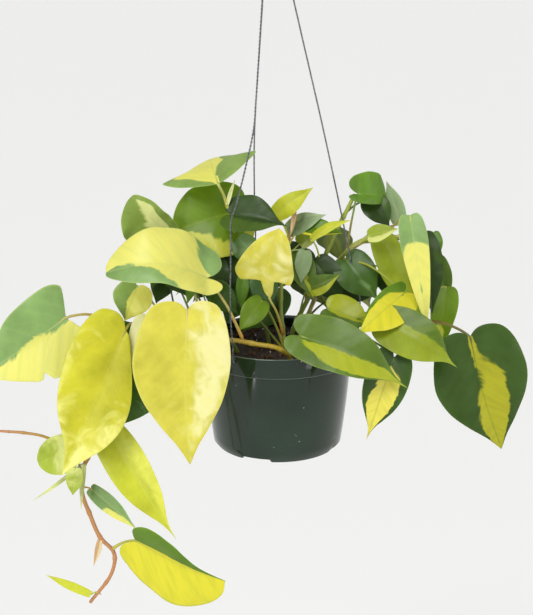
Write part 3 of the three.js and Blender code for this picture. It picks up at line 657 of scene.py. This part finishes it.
def polypropylene_material():
    """Injection-moulded dark green polypropylene: glossy, with faint rubbed patches and dried splashes
    of water, and a painted highlight drawn as a pale line along each of the lip's two edges."""
    made, tree, surface = new_material("moulded_green_polypropylene")
    place = node(tree, "TexCoord").outputs["Object"]
    cloud = node(tree, "TexNoise", {"Vector": place, "Scale": cells(62.5), "Detail": 3.0}).outputs["Fac"]
    tone = node(tree, "ValToRGB", {"Fac": cloud},
                stops=((0.35, linear("#0f2113")), (0.7, linear("#182d1d")))).outputs["Color"]
    # dried splashes 1 to 2 mm across, at most one to each 5 mm, in groups about 20 mm wide
    grit = node(tree, "TexVoronoi", {"Vector": place, "Scale": cells(4.762), "Randomness": 1.0})
    spot = node(tree, "MapRange", {"Value": grit.outputs["Distance"], "From Min": 0.10, "From Max": 0.2,
                                   "To Min": 1.0, "To Max": 0.0}).outputs[0]
    sparse = node(tree, "TexNoise", {"Vector": place, "Scale": cells(18.18), "Detail": 1.0})
    chosen = node(tree, "MapRange", {"Value": sparse.outputs["Fac"], "From Min": 0.63,
                                     "From Max": 0.72, "To Min": 0.0, "To Max": 0.6}).outputs[0]
    shown = node(tree, "Math", {0: spot, 1: chosen}, operation="MULTIPLY").outputs[0]
    dusty = node(tree, "Mix", {"Factor": shown, "A": tone, "B": linear("#a9b3a0")},
                 data_type="RGBA").outputs["Result"]
    # painted highlight: the lip's two edges are drawn as thin pale lines, standing in for the light they
    # catch
    height = node(tree, "SeparateXYZ", {"Vector": place}).outputs["Z"]
    lip_edge_glints = []
    for edge in (RIM_CENTRE[2], RIM_CENTRE[2] - LIP_HEIGHT):
        gap = node(tree, "Math", {0: height, 1: edge / 1000}, operation="SUBTRACT").outputs[0]
        far = node(tree, "Math", {0: gap}, operation="ABSOLUTE").outputs[0]
        lip_edge_glints.append(node(tree, "MapRange", {"Value": far, "From Min": 0.0002, "From Max": 0.0008,
                                            "To Min": 0.55, "To Max": 0.0}).outputs[0])
    painted_edge_highlight = node(tree, "Math", {0: lip_edge_glints[0], 1: lip_edge_glints[1]}, operation="MAXIMUM").outputs[0]
    highlighted = node(tree, "Mix", {"Factor": painted_edge_highlight, "A": dusty, "B": linear("#7f9183")},
                 data_type="RGBA").outputs["Result"]
    rubbed = node(tree, "MapRange", {"Value": cloud, "From Min": 0.3, "From Max": 0.75,
                                     "To Min": 0.08, "To Max": 0.16}).outputs[0]
    # the mould leaves very fine waves, about 11 mm apart
    waves = node(tree, "TexNoise", {"Vector": place, "Scale": cells(11.11), "Detail": 2.0}).outputs["Fac"]
    bump = node(tree, "Bump", {"Height": waves, "Strength": 0.05, "Distance": 0.0005}).outputs["Normal"]
    fill(tree, surface, {"Base Color": highlighted, "Roughness": rubbed, "Normal": bump, "IOR": 1.49})
    return made


def peat_material(name, dark, light, grain):
    """Peat, bark and perlite: rough, broken colour with grains of the given millimetres."""
    made, tree, surface = new_material(name)
    crumbs = node(tree, "TexNoise", {"Vector": node(tree, "TexCoord").outputs["Object"],
                                     "Scale": cells(grain), "Detail": 6.0,
                                     "Roughness": 0.7}).outputs["Fac"]
    tone = node(tree, "ValToRGB", {"Fac": crumbs},
                stops=((0.4, linear(dark)), (0.72, linear(light)))).outputs["Color"]
    bump = node(tree, "Bump", {"Height": crumbs, "Strength": 0.9, "Distance": 0.0012}).outputs["Normal"]
    fill(tree, surface, {"Base Color": tone, "Normal": bump, "Roughness": 0.92})
    return made


def galvanised_material():
    """Galvanised steel wire: dull zinc with spangles about 1.4 mm across."""
    made, tree, surface = new_material("galvanised_steel_wire")
    spangle = node(tree, "TexNoise", {"Vector": node(tree, "TexCoord").outputs["Object"],
                                      "Scale": cells(1.429), "Detail": 2.0}).outputs["Fac"]
    tone = node(tree, "ValToRGB", {"Fac": spangle},
                stops=((0.35, linear("#484b4d")), (0.7, linear("#85898b")))).outputs["Color"]
    fill(tree, surface, {"Base Color": tone, "Metallic": 0.85, "Roughness": 0.42})
    return made


# ---------------------------------------------------------------------------------------------
# The pot and its soil
# ---------------------------------------------------------------------------------------------
WALL_TOP = RIM_RADIUS - WALL - LIP_GAP
FLOOR_TOP = -POT_HEIGHT + FLOOR_LIFT + WALL


def wall_at(z):
    """The pot wall's outer radius at a height: a straight taper that bows out at mid height."""
    down = -z / POT_HEIGHT
    return WALL_TOP + (BASE_RADIUS - WALL_TOP) * down + WALL_SWELL * np.sin(np.pi * down)


def notch_window(angle):
    """1 within a foot notch, 0 outside it, with sloping ends."""
    quarter = (angle - math.radians(NOTCH_AZIMUTH) + np.pi / 4) % (np.pi / 2) - np.pi / 4
    away = np.abs(quarter) * BASE_RADIUS
    return np.clip((NOTCH_WIDTH / 2 + NOTCH_SLOPE / 2 - away) / NOTCH_SLOPE, 0, 1)


def round_corner(radius, height, bend, start, end):
    """Five points of an arc of the given bend about (radius, height), between angles in degrees."""
    angle = np.radians(np.linspace(start, end, 5))
    return np.stack([radius + bend * np.cos(angle), height + bend * np.sin(angle)], -1)


def pot_profile():
    """The pot's closed outline, from the middle of its floor up the inside, over the rim and the lip,
    down the outside, and round the foot ring to the middle of its underside."""
    inside = np.linspace(FLOOR_TOP + 2, -2, 14)
    outside = np.linspace(-EDGE_BAND, -POT_HEIGHT + EDGE_BAND, 18)
    lip_low = RIM_RADIUS - LIP_TAPER
    ring_inside = BASE_RADIUS - FOOT_INSET - WALL
    return np.vstack([
        [(AXIS_RADIUS, FLOOR_TOP), (wall_at(FLOOR_TOP) - WALL - 3, FLOOR_TOP)],
        np.stack([wall_at(inside) - WALL, inside], -1),
        round_corner(RIM_RADIUS - RIM_ROUND, -RIM_ROUND, RIM_ROUND, 115, 5),
        round_corner(lip_low - LIP_ROUND, -LIP_HEIGHT + LIP_ROUND, LIP_ROUND, 0, -90),
        [(lip_low - WALL, -LIP_HEIGHT), (RIM_RADIUS - WALL, -LIP_THICKNESS), (WALL_TOP, -LIP_THICKNESS)],
        np.stack([wall_at(outside), outside], -1),
        round_corner(BASE_RADIUS - FOOT_INSET - FOOT_ROUND, -POT_HEIGHT + FOOT_ROUND, FOOT_ROUND, 0, -90),
        [(ring_inside, -POT_HEIGHT), (ring_inside, FLOOR_TOP - WALL - 1), (AXIS_RADIUS, FLOOR_TOP - WALL)]])


def make_pot():
    """The closed outline of the pot, turned round its axis. The foot ring's lower edge rises in four
    notches. Plugs cut the drain holes and the wire holes."""
    points = turned(pot_profile(), POT_SEGMENTS)
    height = points[..., 2]
    low = np.clip((-POT_HEIGHT + EDGE_BAND - height) / EDGE_BAND, 0, 1)
    rise = NOTCH_RISE * notch_window(around(POT_SEGMENTS)) * low
    points[..., 2] += np.where(height < -POT_HEIGHT + FOOT_ROUND + 0.01, rise, 0)
    pot = piece("pot_shell", [ringed(points)], [polypropylene_material()], ["pot"])
    cutters = []
    for quarter in range(4):
        middle = (BASE_RADIUS - DRAIN_HOLE_INSET) * heading(NOTCH_AZIMUTH + 90 * quarter)
        heights = FLOOR_TOP + np.array([-12, 0, 9])
        cutters.append(tube([middle + (0, 0, z) for z in heights], DRAIN_HOLE_RADIUS, 24))
    for azimuth, _ in WIRES.values():
        ends = RIM_RADIUS + np.array([-14, -WIRE_END_INSIDE / 2, 5])
        level = (0, 0, -WIRE_HOLE_DROP)
        cutters.append(tube([heading(azimuth) * r + level for r in ends], WIRE_HOLE_RADIUS, 16))
    plug = piece("plug", cutters, [])
    cut = pot.modifiers.new("holes", "BOOLEAN")
    cut.object, cut.operation, cut.solver = plug, "DIFFERENCE", "EXACT"
    shaped = bpy.data.meshes.new_from_object(pot.evaluated_get(bpy.context.evaluated_depsgraph_get()))
    pot.modifiers.clear()
    pot.data = shaped
    bpy.data.objects.remove(plug)
    shaped.polygons.foreach_set("use_smooth", [True] * len(shaped.polygons))
    shaped.set_sharp_from_angle(angle=math.radians(SHARP_EDGE))


def crumble(x, y, longest):
    """A rough ground: sines of several directions added up, between about -1 and 1. There are four
    to each of five lengths, and each length is 1.9 times shorter and 1.6 times lower than the last."""
    total = np.zeros_like(x)
    for octave in range(5):
        for _ in range(4):
            turn, phase = rng.uniform(0, 2 * np.pi, 2)
            wave = (x * math.cos(turn) + y * math.sin(turn)) / (longest / 1.9**octave)
            total += np.sin(wave + phase) / 1.6**octave / 4
    return total


def make_soil():
    """A plug of potting mix. Its top is a low crown, roughened by waves of several lengths, and it
    is crumbled most away from the wall. Bark chips and perlite grains lie on it."""
    fit = WALL + CLEARANCE
    radius = (wall_at(-SOIL_DEPTH) - fit) * np.linspace(1, 0.004, 46)
    side_z = np.linspace(FLOOR_TOP + CLEARANCE, -SOIL_DEPTH, 6)
    sides = np.stack([wall_at(side_z) - fit, side_z], -1)
    crown = SOIL_CROWN * np.clip(1.6 * (1 - radius / radius[0]), 0, 1)
    top = np.stack([radius, -SOIL_DEPTH + crown], -1)
    points = turned(np.vstack([[(0.3, side_z[0])], sides, top[1:]]), SOIL_SEGMENTS)
    # the roughness begins at the plug's upper edge and is whole three rings further in
    on_top = np.clip(np.arange(len(points)) - len(side_z), 0, 3)[:, None] / 3
    points[..., 2] += on_top * (1.5 * crumble(points[..., 0], points[..., 1], 7.0) - 0.6)
    piece("potting_mix", [ringed(points)], [peat_material("peat_mix", "#15100b", "#4a3626", 1.111)],
          ["soil"])
    scatter("bark_chips", 260, (1.2, 3.6), peat_material("composted_bark", "#2a1a10", "#7a5636", 2.0))
    scatter("perlite_grains", 34, (0.7, 1.5), peat_material("perlite", "#b9b4a8", "#e9e6dc", 1.111))


def scatter(name, count, sizes, look):
    """Lumps of 8 by 5 points: a ball squashed and turned at random, its surface pushed in and out by
    a random share at each point, laid on the soil within 66 mm of its middle."""
    columns, rows = 8, 5
    lat = np.linspace(-np.pi / 2 + 0.25, np.pi / 2 - 0.25, rows)[:, None]
    lon = around(columns)
    ball = np.stack([np.cos(lat) * np.cos(lon), np.cos(lat) * np.sin(lon), np.sin(lat) + 0 * lon], -1)
    size = rng.uniform(*sizes, (count, 1, 1, 1)) * rng.uniform(0.35, 1.0, (count, 1, 1, 3))
    lumps = ball[None] * rng.uniform(0.72, 1.12, (count, rows, columns, 1)) * size
    turn = np.linalg.qr(rng.normal(size=(count, 3, 3)))[0]
    lumps = np.einsum("nrck,nkj->nrcj", lumps, turn)
    away = 66 * np.sqrt(rng.uniform(0, 1, count))
    bearing = rng.uniform(0, 2 * np.pi, count)
    ground = -SOIL_DEPTH + SOIL_CROWN * np.clip(1.6 - away / 42, 0, 1) + 0.5
    lumps += np.stack([away * np.cos(bearing), away * np.sin(bearing), ground], -1)[:, None, None]
    piece(name, [ringed(lump) for lump in lumps], [look], smooth=False)


# ---------------------------------------------------------------------------------------------
# The hanger
# ---------------------------------------------------------------------------------------------
def wire_path(azimuth, leafy):
    """From the neck, through the leaves, down the outside of the lip and in through its hole."""
    out = heading(azimuth)
    above, level = np.array([0, 0, WIRE_HOLE_DROP]), np.array([0, 0, -WIRE_HOLE_DROP])
    outside = RIM_RADIUS + WIRE_RADIUS + WIRE_STANDOFF
    top = out * (HOOK_WIRE_RADIUS + WIRE_RADIUS + CLEARANCE) + (NECK_X, 0, HANGER_HEIGHT - WIRE_RADIUS)
    leafy = np.array(leafy, float) * GROWTH
    return smooth_route([
        top, (top + leafy[0]) / 2, *leafy, out * outside + above, out * outside + level / 2,
        out * (RIM_RADIUS + WIRE_RADIUS) + level, out * (RIM_RADIUS - WIRE_END_INSIDE / 3) + level,
        out * (RIM_RADIUS - WIRE_END_INSIDE) + level], 14)


def twisted(path):
    """Two strands laid round the path, half a turn apart, one turn to each pitch."""
    reach = lengths_along(path)
    stops = np.arange(0, reach[-1], TWIST_PITCH / 9)
    centre = at_lengths(path, reach, stops)
    side, other = frame_of(centre)
    strand = WIRE_RADIUS / 2
    turns = [(2 * np.pi * stops / TWIST_PITCH + start)[:, None] for start in (0, np.pi)]
    return [tube(centre + strand * (np.cos(turn) * side + np.sin(turn) * other), strand, 6)
            for turn in turns]


def make_hanger():
    """Three wires, the left one of two twisted strands; the hook above them; and the binding wire
    wound round the hook's shank."""
    zinc = [galvanised_material()]
    for name, (azimuth, leafy) in WIRES.items():
        path = wire_path(azimuth, leafy)
        plain = [tube(path, WIRE_RADIUS * PLAIN_WIRE_SHARE, 8)]
        strands = twisted(path) if name == "hanger_wire_front_left" else plain
        piece("fine_" + name, strands, zinc, [name])
    hook = smooth_route([*hook_shank(), hook_bend(-90, 1.6),
                         *[hook_bend(degrees, 1) for degrees in range(-40, 201, 30)],
                         hook_bend(211, 1.46)], 8)
    piece("fine_hook", [tube(with_ends(hook, HOOK_WIRE_RADIUS), HOOK_WIRE_RADIUS, 14)], zinc,
          ["hanger_hook"])
    turn = np.linspace(0, 2 * np.pi * WRAP_TURNS, 24 * WRAP_TURNS)
    winding = HOOK_WIRE_RADIUS + WIRE_RADIUS + 0.1
    start = HANGER_HEIGHT + WIRE_RADIUS + 2 * CLEARANCE
    wrap = np.stack([NECK_X + winding * np.cos(turn), winding * np.sin(turn),
                     start + WRAP_LENGTH * turn / turn[-1]], -1)
    piece("fine_neck_wrap", [tube(wrap, WIRE_RADIUS, 10)], zinc, ["neck_wrap"])


def hook_shank():
    """Three points up the shank: its foot, and the middle and top of its binding."""
    return [(NECK_X, 0, HANGER_HEIGHT + rise) for rise in (-HOOK_WIRE_RADIUS, WRAP_LENGTH / 2, WRAP_LENGTH)]


def hook_bend(degrees, reach):
    """A point of the hook's circle at that angle, at that many times its radius from its centre."""
    away = reach * (HOOK_INSIDE_RADIUS + HOOK_WIRE_RADIUS)
    turn = math.radians(degrees)
    centre = HANGER_HEIGHT + NECK_TO_HOOK - HOOK_INSIDE_RADIUS
    return (NECK_X + away * math.cos(turn), 0, centre + away * math.sin(turn))


# ---------------------------------------------------------------------------------------------
# The plant
# ---------------------------------------------------------------------------------------------
stem_paths = {name: smooth_route(np.array(route, float) * GROWTH, 12)
              for name, (_, route) in STEMS.items()}


# Half of a blade's outline, from the notch at its stalk to its tip: shares of the length and of half
# the width. Behind the stalk, the first number is a share of the lobe's reach instead.
OUTLINES = {
    "heart": [(0, 0.0), (-0.5, 0.08), (-0.95, 0.26), (-1, 0.48), (-0.62, 0.73), (0.07, 0.93), (0.25, 1.0),
              (0.42, 0.93), (0.58, 0.74), (0.72, 0.43), (0.82, 0.18), (0.9, 0.06), (1, 0.0)],
    "spear": [(0, 0.0), (-0.8, 0.15), (-1, 0.42), (-0.2, 0.72), (0.14, 0.92), (0.34, 1.0),
              (0.54, 0.86), (0.72, 0.55), (0.88, 0.2), (1, 0.0)],
    "cupped": [(0, 0.0), (-0.8, 0.1), (-1.7, 0.26), (-1.4, 0.5), (0.04, 0.72), (0.28, 0.92), (0.52, 1.0),
               (0.74, 0.94), (0.92, 0.7), (1.02, 0.36), (1, 0.0)],
    "round": [(0, 0.0), (-0.5, 0.08), (-0.95, 0.26), (-1, 0.48), (-0.62, 0.73), (0.07, 0.93), (0.3, 1.0),
              (0.55, 0.96), (0.78, 0.76), (0.93, 0.45), (1.0, 0.16), (1, 0.0)],
    "tongue": [(0, 0.0), (-0.3, 0.3), (-0.2, 0.62), (0.06, 0.9), (0.18, 1.0), (0.36, 0.94),
               (0.6, 0.7), (0.8, 0.42), (0.93, 0.16), (1, 0.0)],
    "wings": [(0, 0.0), (0.08, 0.25), (0.22, 0.55), (0.46, 0.86), (0.64, 1.0), (0.7, 0.8),
              (0.76, 0.55), (0.92, 0.28), (1, 0.0)],
    "shield": [(0, 0.0), (-0.35, 0.25), (-0.8, 0.6), (-0.9, 0.8), (-0.2, 0.98), (0.2, 1.0),
               (0.42, 0.9), (0.6, 0.66), (0.78, 0.36), (0.9, 0.13), (1, 0.0)],
    "slim": [(0, 0.0), (0.02, 0.14), (0.12, 0.4), (0.28, 0.76), (0.42, 0.96), (0.54, 1.0),
             (0.68, 0.84), (0.82, 0.48), (0.93, 0.16), (1, 0.0)],
    "hump": [(0, 0.0), (-0.6, 0.2), (-0.8, 0.6), (0.06, 0.92), (0.2, 1.0), (0.36, 0.84),
             (0.52, 0.5), (0.7, 0.22), (0.9, 0.06), (1, 0.0)],
    "hood": [(0, 0.0), (0.1, 0.14), (0.26, 0.22), (0.37, 0.36), (0.3, 0.6), (0.27, 0.84), (0.38, 1.0),
             (0.58, 0.9), (0.77, 0.66), (0.92, 0.34), (1, 0.0)],
}

# What sets single leaves apart: each side's outline, each side's share of the usual width, the depth
# of the edge's ripples, a sideways bow of the midrib as a share of the length, and a tear as its
# place along the edge and its depth.
LEAF_SHAPES = {
    "far_left": {"outline": ("shield", "shield"), "sides": (0.88, 1.1), "tear": (0.62, 0.25)},
    "left_broad": {"outline": ("round", "round"), "sides": (1.12, 0.62)},
    "top_left": {"outline": ("wings", "wings"), "sides": (0.92, 1.06), "depth": 0.02, "bow": 0.0},
    "upright_left": {"outline": ("round", "round"), "sides": (0.5, 1.1), "depth": 0.08},
    "right_yellow": {"sides": (0.8, 1.15)},
    "left_small": {"outline": ("round", "round")},
    "right_heart": {"outline": ("round", "round"), "sides": (0.5, 1.15)},
    "right_long": {"outline": ("tongue", "tongue")},
    "right_outer": {"outline": ("tongue", "tongue")},
    "centre_cream": {"outline": ("hood", "hood"), "sides": (0.9, 1.16), "depth": 0.16, "bow": 0.07},
    "behind_left": {"outline": ("round", "round"), "sides": (0.95, 1.1)},
    "left_large": {"outline": ("heart", "slim"), "sides": (1.08, 0.9), "bow": 0.01},
    "bottom": {"outline": ("cupped", "hump"), "sides": (1.16, 0.75), "bow": -0.02},
    "front_large": {"sides": (1.1, 0.96), "bow": -0.02},
    "front_long": {"sides": (0.95, 1.05)},
    "right_large": {"sides": (0.98, 1.05), "bow": -0.03, "depth": 0.05},
}


def margin(outline, lobe):
    """The outline as a smooth curve through its points, with a step to each line of the blade."""
    shares = np.array([(a * lobe if a < 0 else a, b, 0) for a, b in OUTLINES[outline]])
    curve = smooth_route(shares, 12)
    reach = lengths_along(curve * (1, 0.6, 1))
    stops = np.linspace(0, 1, BLADE_LINES) ** 1.08 * reach[-1]
    return at_lengths(curve[:, :2], reach, stops)


def blade_axes(leaf):
    """A blade's foot, its length and its directions: along the midrib, out of its upper side, and
    across it."""
    base, tip = np.array(leaf.base, float) * GROWTH, np.array(leaf.tip, float) * GROWTH
    length = np.linalg.norm(tip - base)
    along = (tip - base) / length
    face = np.array(leaf.face, float)
    up = unit(face - along * (face @ along))
    return base, length, along, up, np.cross(up, along)


def blade_layer(leaf, edge, u, v, ripple):
    """The blade's middle layer. Each line across it runs from a point of the midrib, u of the length
    along, to a point of the edge; v is the share of the way, and its sign the side. It is folded
    about the midrib, with the fold rounded over 2 mm, and arched along it by half a sine; the edge
    is rippled by a sine along it and rolls back by the fourth power of v; and the midrib lies in a
    bell-shaped groove 1.4 mm to each side."""
    base, length, along, up, across = blade_axes(leaf)
    folded = math.radians(leaf.fold)
    far = np.abs(v)
    share = u * (1 - far) + edge[..., 0] * far
    half = 0.5 * leaf.width * GROWTH * edge[..., 1]
    aside = half * v * np.where(v < 0, *ripple["sides"])
    body = np.clip(share, 0, 1)
    arched = np.sin(np.pi * body)
    wave = np.sin(2 * np.pi * (ripple["waves"] * share + ripple["phase"] * np.sign(v) + 0.1 * v))
    rise = leaf.arch * GROWTH * arched
    rise += (np.hypot(aside, 2) - 2) * math.sin(folded)
    rise += ripple["depth"] * half * far**2.5 * arched**0.6 * wave
    rise -= ripple["roll"] * half * far**4
    rise -= min(0.5, 0.01 * leaf.width) * np.exp(-(aside / 1.4) ** 2)
    bow = ripple["bow"] * length * arched**1.3
    points = (base + along * (length * share)[..., None]
              + across * (aside * math.cos(folded) + bow)[..., None] + up * rise[..., None])
    return points, length * share, aside


def patch_share(words, u, v):
    """The share of patch colour at each point: the table's digits, joined by straight lines along
    and across the blade."""
    table = np.array([[int(digit) for digit in word] for word in words.split()], float) / 9
    columns = np.linspace(-1, 1, table.shape[1])
    across = np.stack([np.interp(v, columns, line) for line in table])
    place = u * (len(table) - 1)
    low = np.clip(np.floor(place).astype(int), 0, max(len(table) - 2, 0))
    high = np.minimum(low + 1, len(table) - 1)
    pick = (np.arange(u.shape[0])[:, None], np.arange(u.shape[1])[None])
    mix = np.clip(place - low, 0, 1)
    return across[(low, *pick)] * (1 - mix) + across[(high, *pick)] * mix


def blade(leaf, ripple):
    """A thin closed blade: its middle layer on a grid, pushed out both ways along its own normal,
    with a narrow wall round the edge. Each side of the midrib has its own outline, and a tear draws
    the edge in by a bell curve along it."""
    sides = [margin(outline, leaf.lobe)[:, None] for outline in ripple["outline"]]
    place, depth = ripple["tear"]
    torn = depth * np.exp(-(((np.linspace(0, 1, BLADE_LINES) - place) / 0.018) ** 2))
    u = np.clip(np.linspace(-0.14, 1, BLADE_LINES), 0, 1)[:, None] + np.zeros((1, BLADE_COLUMNS))
    v = np.sin(np.linspace(-np.pi / 2, np.pi / 2, BLADE_COLUMNS))[None] + np.zeros((BLADE_LINES, 1))
    edge = np.where((v < 0)[..., None], *sides)
    edge[..., 1] *= 1 - torn[:, None] * (v > 0)
    middle, along, aside = blade_layer(leaf, edge, u, v, ripple)
    up = blade_axes(leaf)[3]
    # where the lines meet in one point, the upper side stands in for the normal
    normal = unit(np.cross(np.gradient(middle, axis=0), np.gradient(middle, axis=1)) + 1e-4 * up)
    normal *= np.sign(np.sum(normal * up))
    thick = LEAF_HALF_THICKNESS * (1 - 0.6 * np.abs(v) ** 6)[..., None] * normal
    points = np.concatenate([middle + thick, middle - thick]).reshape(-1, 3)
    count = BLADE_LINES * BLADE_COLUMNS
    faces = grid_faces(BLADE_LINES, BLADE_COLUMNS, closed=False)
    index = np.arange(count).reshape(BLADE_LINES, BLADE_COLUMNS)
    border = np.concatenate([index[0, :-1], index[:-1, -1], index[-1, :0:-1], index[:0:-1, 0]])
    beside = np.roll(border, -1)
    wall = np.stack([border, beside, beside + count, border + count], -1)
    uv = np.stack([along, aside], -1).reshape(-1, 2) / 100
    body = np.clip(along / along.max(), 0, 1)
    return {
        "points": points, "faces": np.vstack([faces, faces[:, ::-1] + count, wall]),
        "under": np.repeat([0.0, 1.0], count),
        "uv": np.tile(uv, (2, 1)) + (ripple["phase"] * 7, 0),
        "share": np.tile(patch_share(leaf.patches, body, v).ravel(), 2),
        "edge": np.tile(np.abs(v).ravel(), 2),
    }


def petiole(leaf, ripple):
    """The stalk: from its stem, arched a little, into the base of the blade, and on under the blade
    as the midrib, thinning towards the tip. It widens where it clasps the stem."""
    start = point_at(stem_paths[leaf.stem], leaf.share)
    stops = np.array([[0.0], [0.06], [0.2], [0.4], [0.6], [0.8]])
    under = blade_layer(leaf, np.zeros((6, 1, 2)), stops, np.zeros((6, 1)), ripple)[0][:, 0]
    under -= 0.35 * blade_axes(leaf)[3]
    middle = (start + under[0]) / 2 + (0, 0, 0.1 * np.linalg.norm(under[0] - start))
    path = smooth_route([start, middle, *under], 7)
    swell = np.interp(np.linspace(0, 1, len(path)), [0, 0.06, 0.14, 0.26, 0.3, 0.45, 1],
                      [1.7, 1.25, 1, 1, 1.15, 0.62, 0.2])
    part = tube(path, (PETIOLE_RADIUS + PETIOLE_GAIN * leaf.width) * swell, 9)
    part["reach"] = np.clip(part["reach"] * 1.6, 0, 1)
    part["material"] = 1
    return part


def grow_leaf(name, leaf, materials, replaces=()):
    """A blade on its petiole, each a closed part of one piece."""
    usual = "heart" if leaf.lobe >= 0.1 else "spear"
    ripple = {"waves": rng.uniform(1.6, 2.6), "phase": rng.uniform(0, 1), "depth": rng.uniform(0.03, 0.07),
              "roll": rng.uniform(0.03, 0.09), "bow": rng.uniform(-0.02, 0.02),
              "outline": (usual, usual), "sides": (1.0, 1.0), "tear": (0.5, 0.0)}
    ripple.update(LEAF_SHAPES.get(name, {}))
    made = f"blade_{name}" if replaces else name
    piece(made, [blade(leaf, ripple), petiole(leaf, ripple)], materials, replaces)


def make_leaves():
    """Every leaf, with one blade material and one stalk material to each set of colours."""
    looks = {}
    for key, (ground, patch, rim, stalk, softness) in LEAF_COLOURS.items():
        looks[key] = [leaf_material("leaf_" + key, ground, patch, rim, softness),
                      stalk_material("stalk_" + key, stalk, rim)]
    for name, row in LEAVES.items():
        leaf = Leaf(*row)
        grow_leaf(name, leaf, looks[leaf.colours], ["leaf_" + name])
    for name, row in SMALL_LEAVES.items():
        leaf = Leaf(*row)
        grow_leaf(name, leaf, looks[leaf.colours])


def make_stems():
    """Stems swell at their nodes by a bell curve, and thin towards their ends. Small root nubs stand
    halfway between two nodes, on every second stretch of a woody stem and every third of a green one."""
    bark = stalk_material("orange_vine_bark", "#a8941f", "#b07a4c", bark=True)
    skin = stalk_material("green_stem_skin", "#5f7424", "#93a036")
    pale = stalk_material("straw_stem_skin", "#9c8f4c", "#b9b764")
    half_gap = NODE_SPACING / 2
    for name, (radius, _) in STEMS.items():
        path = with_ends(stem_paths[name], radius)
        reach = lengths_along(path)
        from_node = (reach - FIRST_NODE + half_gap) % NODE_SPACING - half_gap
        knots = 1 + NODE_SWELL * np.exp(-(from_node / NODE_LENGTH) ** 2)
        woody = name in ("trailing_vine", "left_runner")
        taper = np.interp(reach, [0, 0.8 * reach[-1], reach[-1]], [1, 0.95, 0.75])
        parts = [tube(path, radius * knots * taper, 14)]
        apart = NODE_SPACING * (2 if woody else 3)
        for at in np.arange(FIRST_NODE + half_gap, reach[-1] - 12, apart):
            foot = point_at(path, at / reach[-1])
            way = unit(np.array([rng.normal(), -abs(rng.normal()), rng.normal() - 0.6]))
            nub = foot + way * (radius * np.array([[0.4], [1.1], [1.9]]))
            parts.append(tube(nub, [0.8, 0.7, 0.45], 7))
        look = bark if woody else pale if name == "right_stem" else skin
        piece("fine_" + name, parts, [look], [name])


# ---------------------------------------------------------------------------------------------
# Camera, light and floor
# ---------------------------------------------------------------------------------------------
CAMERA_FROM_RIM = (-10.8, -1145, 350)
CAMERA_PITCH_DOWN = 15.66       # degrees
LENS = 71.5                     # mm
SENSOR = 36                     # mm, along the taller side
CAMERA_REACH = 500              # metres, past the far edge of the floor
FLOOR_BELOW = 0.9               # metres under the lowest leaf
FLOOR_REACH = 250               # metres from its middle to each side


def make_camera():
    """The camera looks along +Y and down by its pitch, from its place in the pot's frame."""
    made = bpy.data.cameras.new("camera")
    made.lens, made.sensor_width, made.clip_end = LENS, SENSOR, CAMERA_REACH
    camera = into_scene("camera", made)
    camera.location = hung(CAMERA_FROM_RIM)
    camera.rotation_euler = (math.radians(90 - CAMERA_PITCH_DOWN), 0, 0)
    bpy.context.scene.camera = camera


def softbox(name, place, size, power):
    """A soft rectangular light that looks at the middle of the plant."""
    made = bpy.data.lights.new(name, "AREA")
    made.shape, made.size, made.size_y, made.energy = "RECTANGLE", *size, power
    light = into_scene(name, made)
    light.location = place
    light.rotation_euler = (Vector(place) - Vector((0, 0, -0.42))).to_track_quat("Z", "Y").to_euler()


def soft_sun(name, towards, strength, spread):
    """Even light from far off, from the given direction, softened over the given degrees."""
    made = bpy.data.lights.new(name, "SUN")
    made.energy, made.angle = strength, math.radians(spread)
    into_scene(name, made).rotation_euler = Vector(towards).to_track_quat("Z", "Y").to_euler()


def make_stage():
    """A plain pale floor, a bright even surround, two soft suns, and two softboxes for the sheen."""
    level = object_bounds()[0][2] - FLOOR_BELOW
    corners = [(x * FLOOR_REACH, y * FLOOR_REACH, level) for x, y in ((-1, -1), (1, -1), (1, 1), (-1, 1))]
    mesh = bpy.data.meshes.new("floor")
    mesh.from_pydata(corners, [], [(0, 1, 2, 3)])
    floor_look, tree, surface = new_material("matt_pale_floor")
    fill(tree, surface, {"Base Color": linear("#f8f8f6"), "Roughness": 0.9})
    mesh.materials.append(floor_look)
    into_scene("floor", mesh)
    world = bpy.data.worlds.new("surround")
    world.use_nodes = True
    sky = world.node_tree
    height = node(sky, "SeparateXYZ", {"Vector": node(sky, "TexCoord").outputs["Generated"]}).outputs["Z"]
    # the surround is palest at the horizon, where it meets the floor
    glow = node(sky, "MapRange", {"Value": height, "From Min": 0.0, "From Max": 0.5,
                                  "To Min": 0.8, "To Max": 0.42}).outputs[0]
    fill(sky, sky.nodes["Background"], {"Strength": glow, "Color": (1, 1, 1, 1)})
    bpy.context.scene.world = world
    soft_sun("key_light", (-0.5, -1.0, 1.25), 1.85, 30)
    soft_sun("side_light", (1.2, -0.9, 0.5), 0.35, 50)
    softbox("left_strip", (-0.7, -0.95, -0.45), (0.06, 1.1), 3.6)
    softbox("right_panel", (1.3, -0.9, -0.4), (0.8, 1.2), 5.5)
    bpy.context.scene.view_settings.view_transform = "Standard"


make_camera()
make_pot()
make_soil()
make_hanger()
make_stems()
make_leaves()
make_stage()
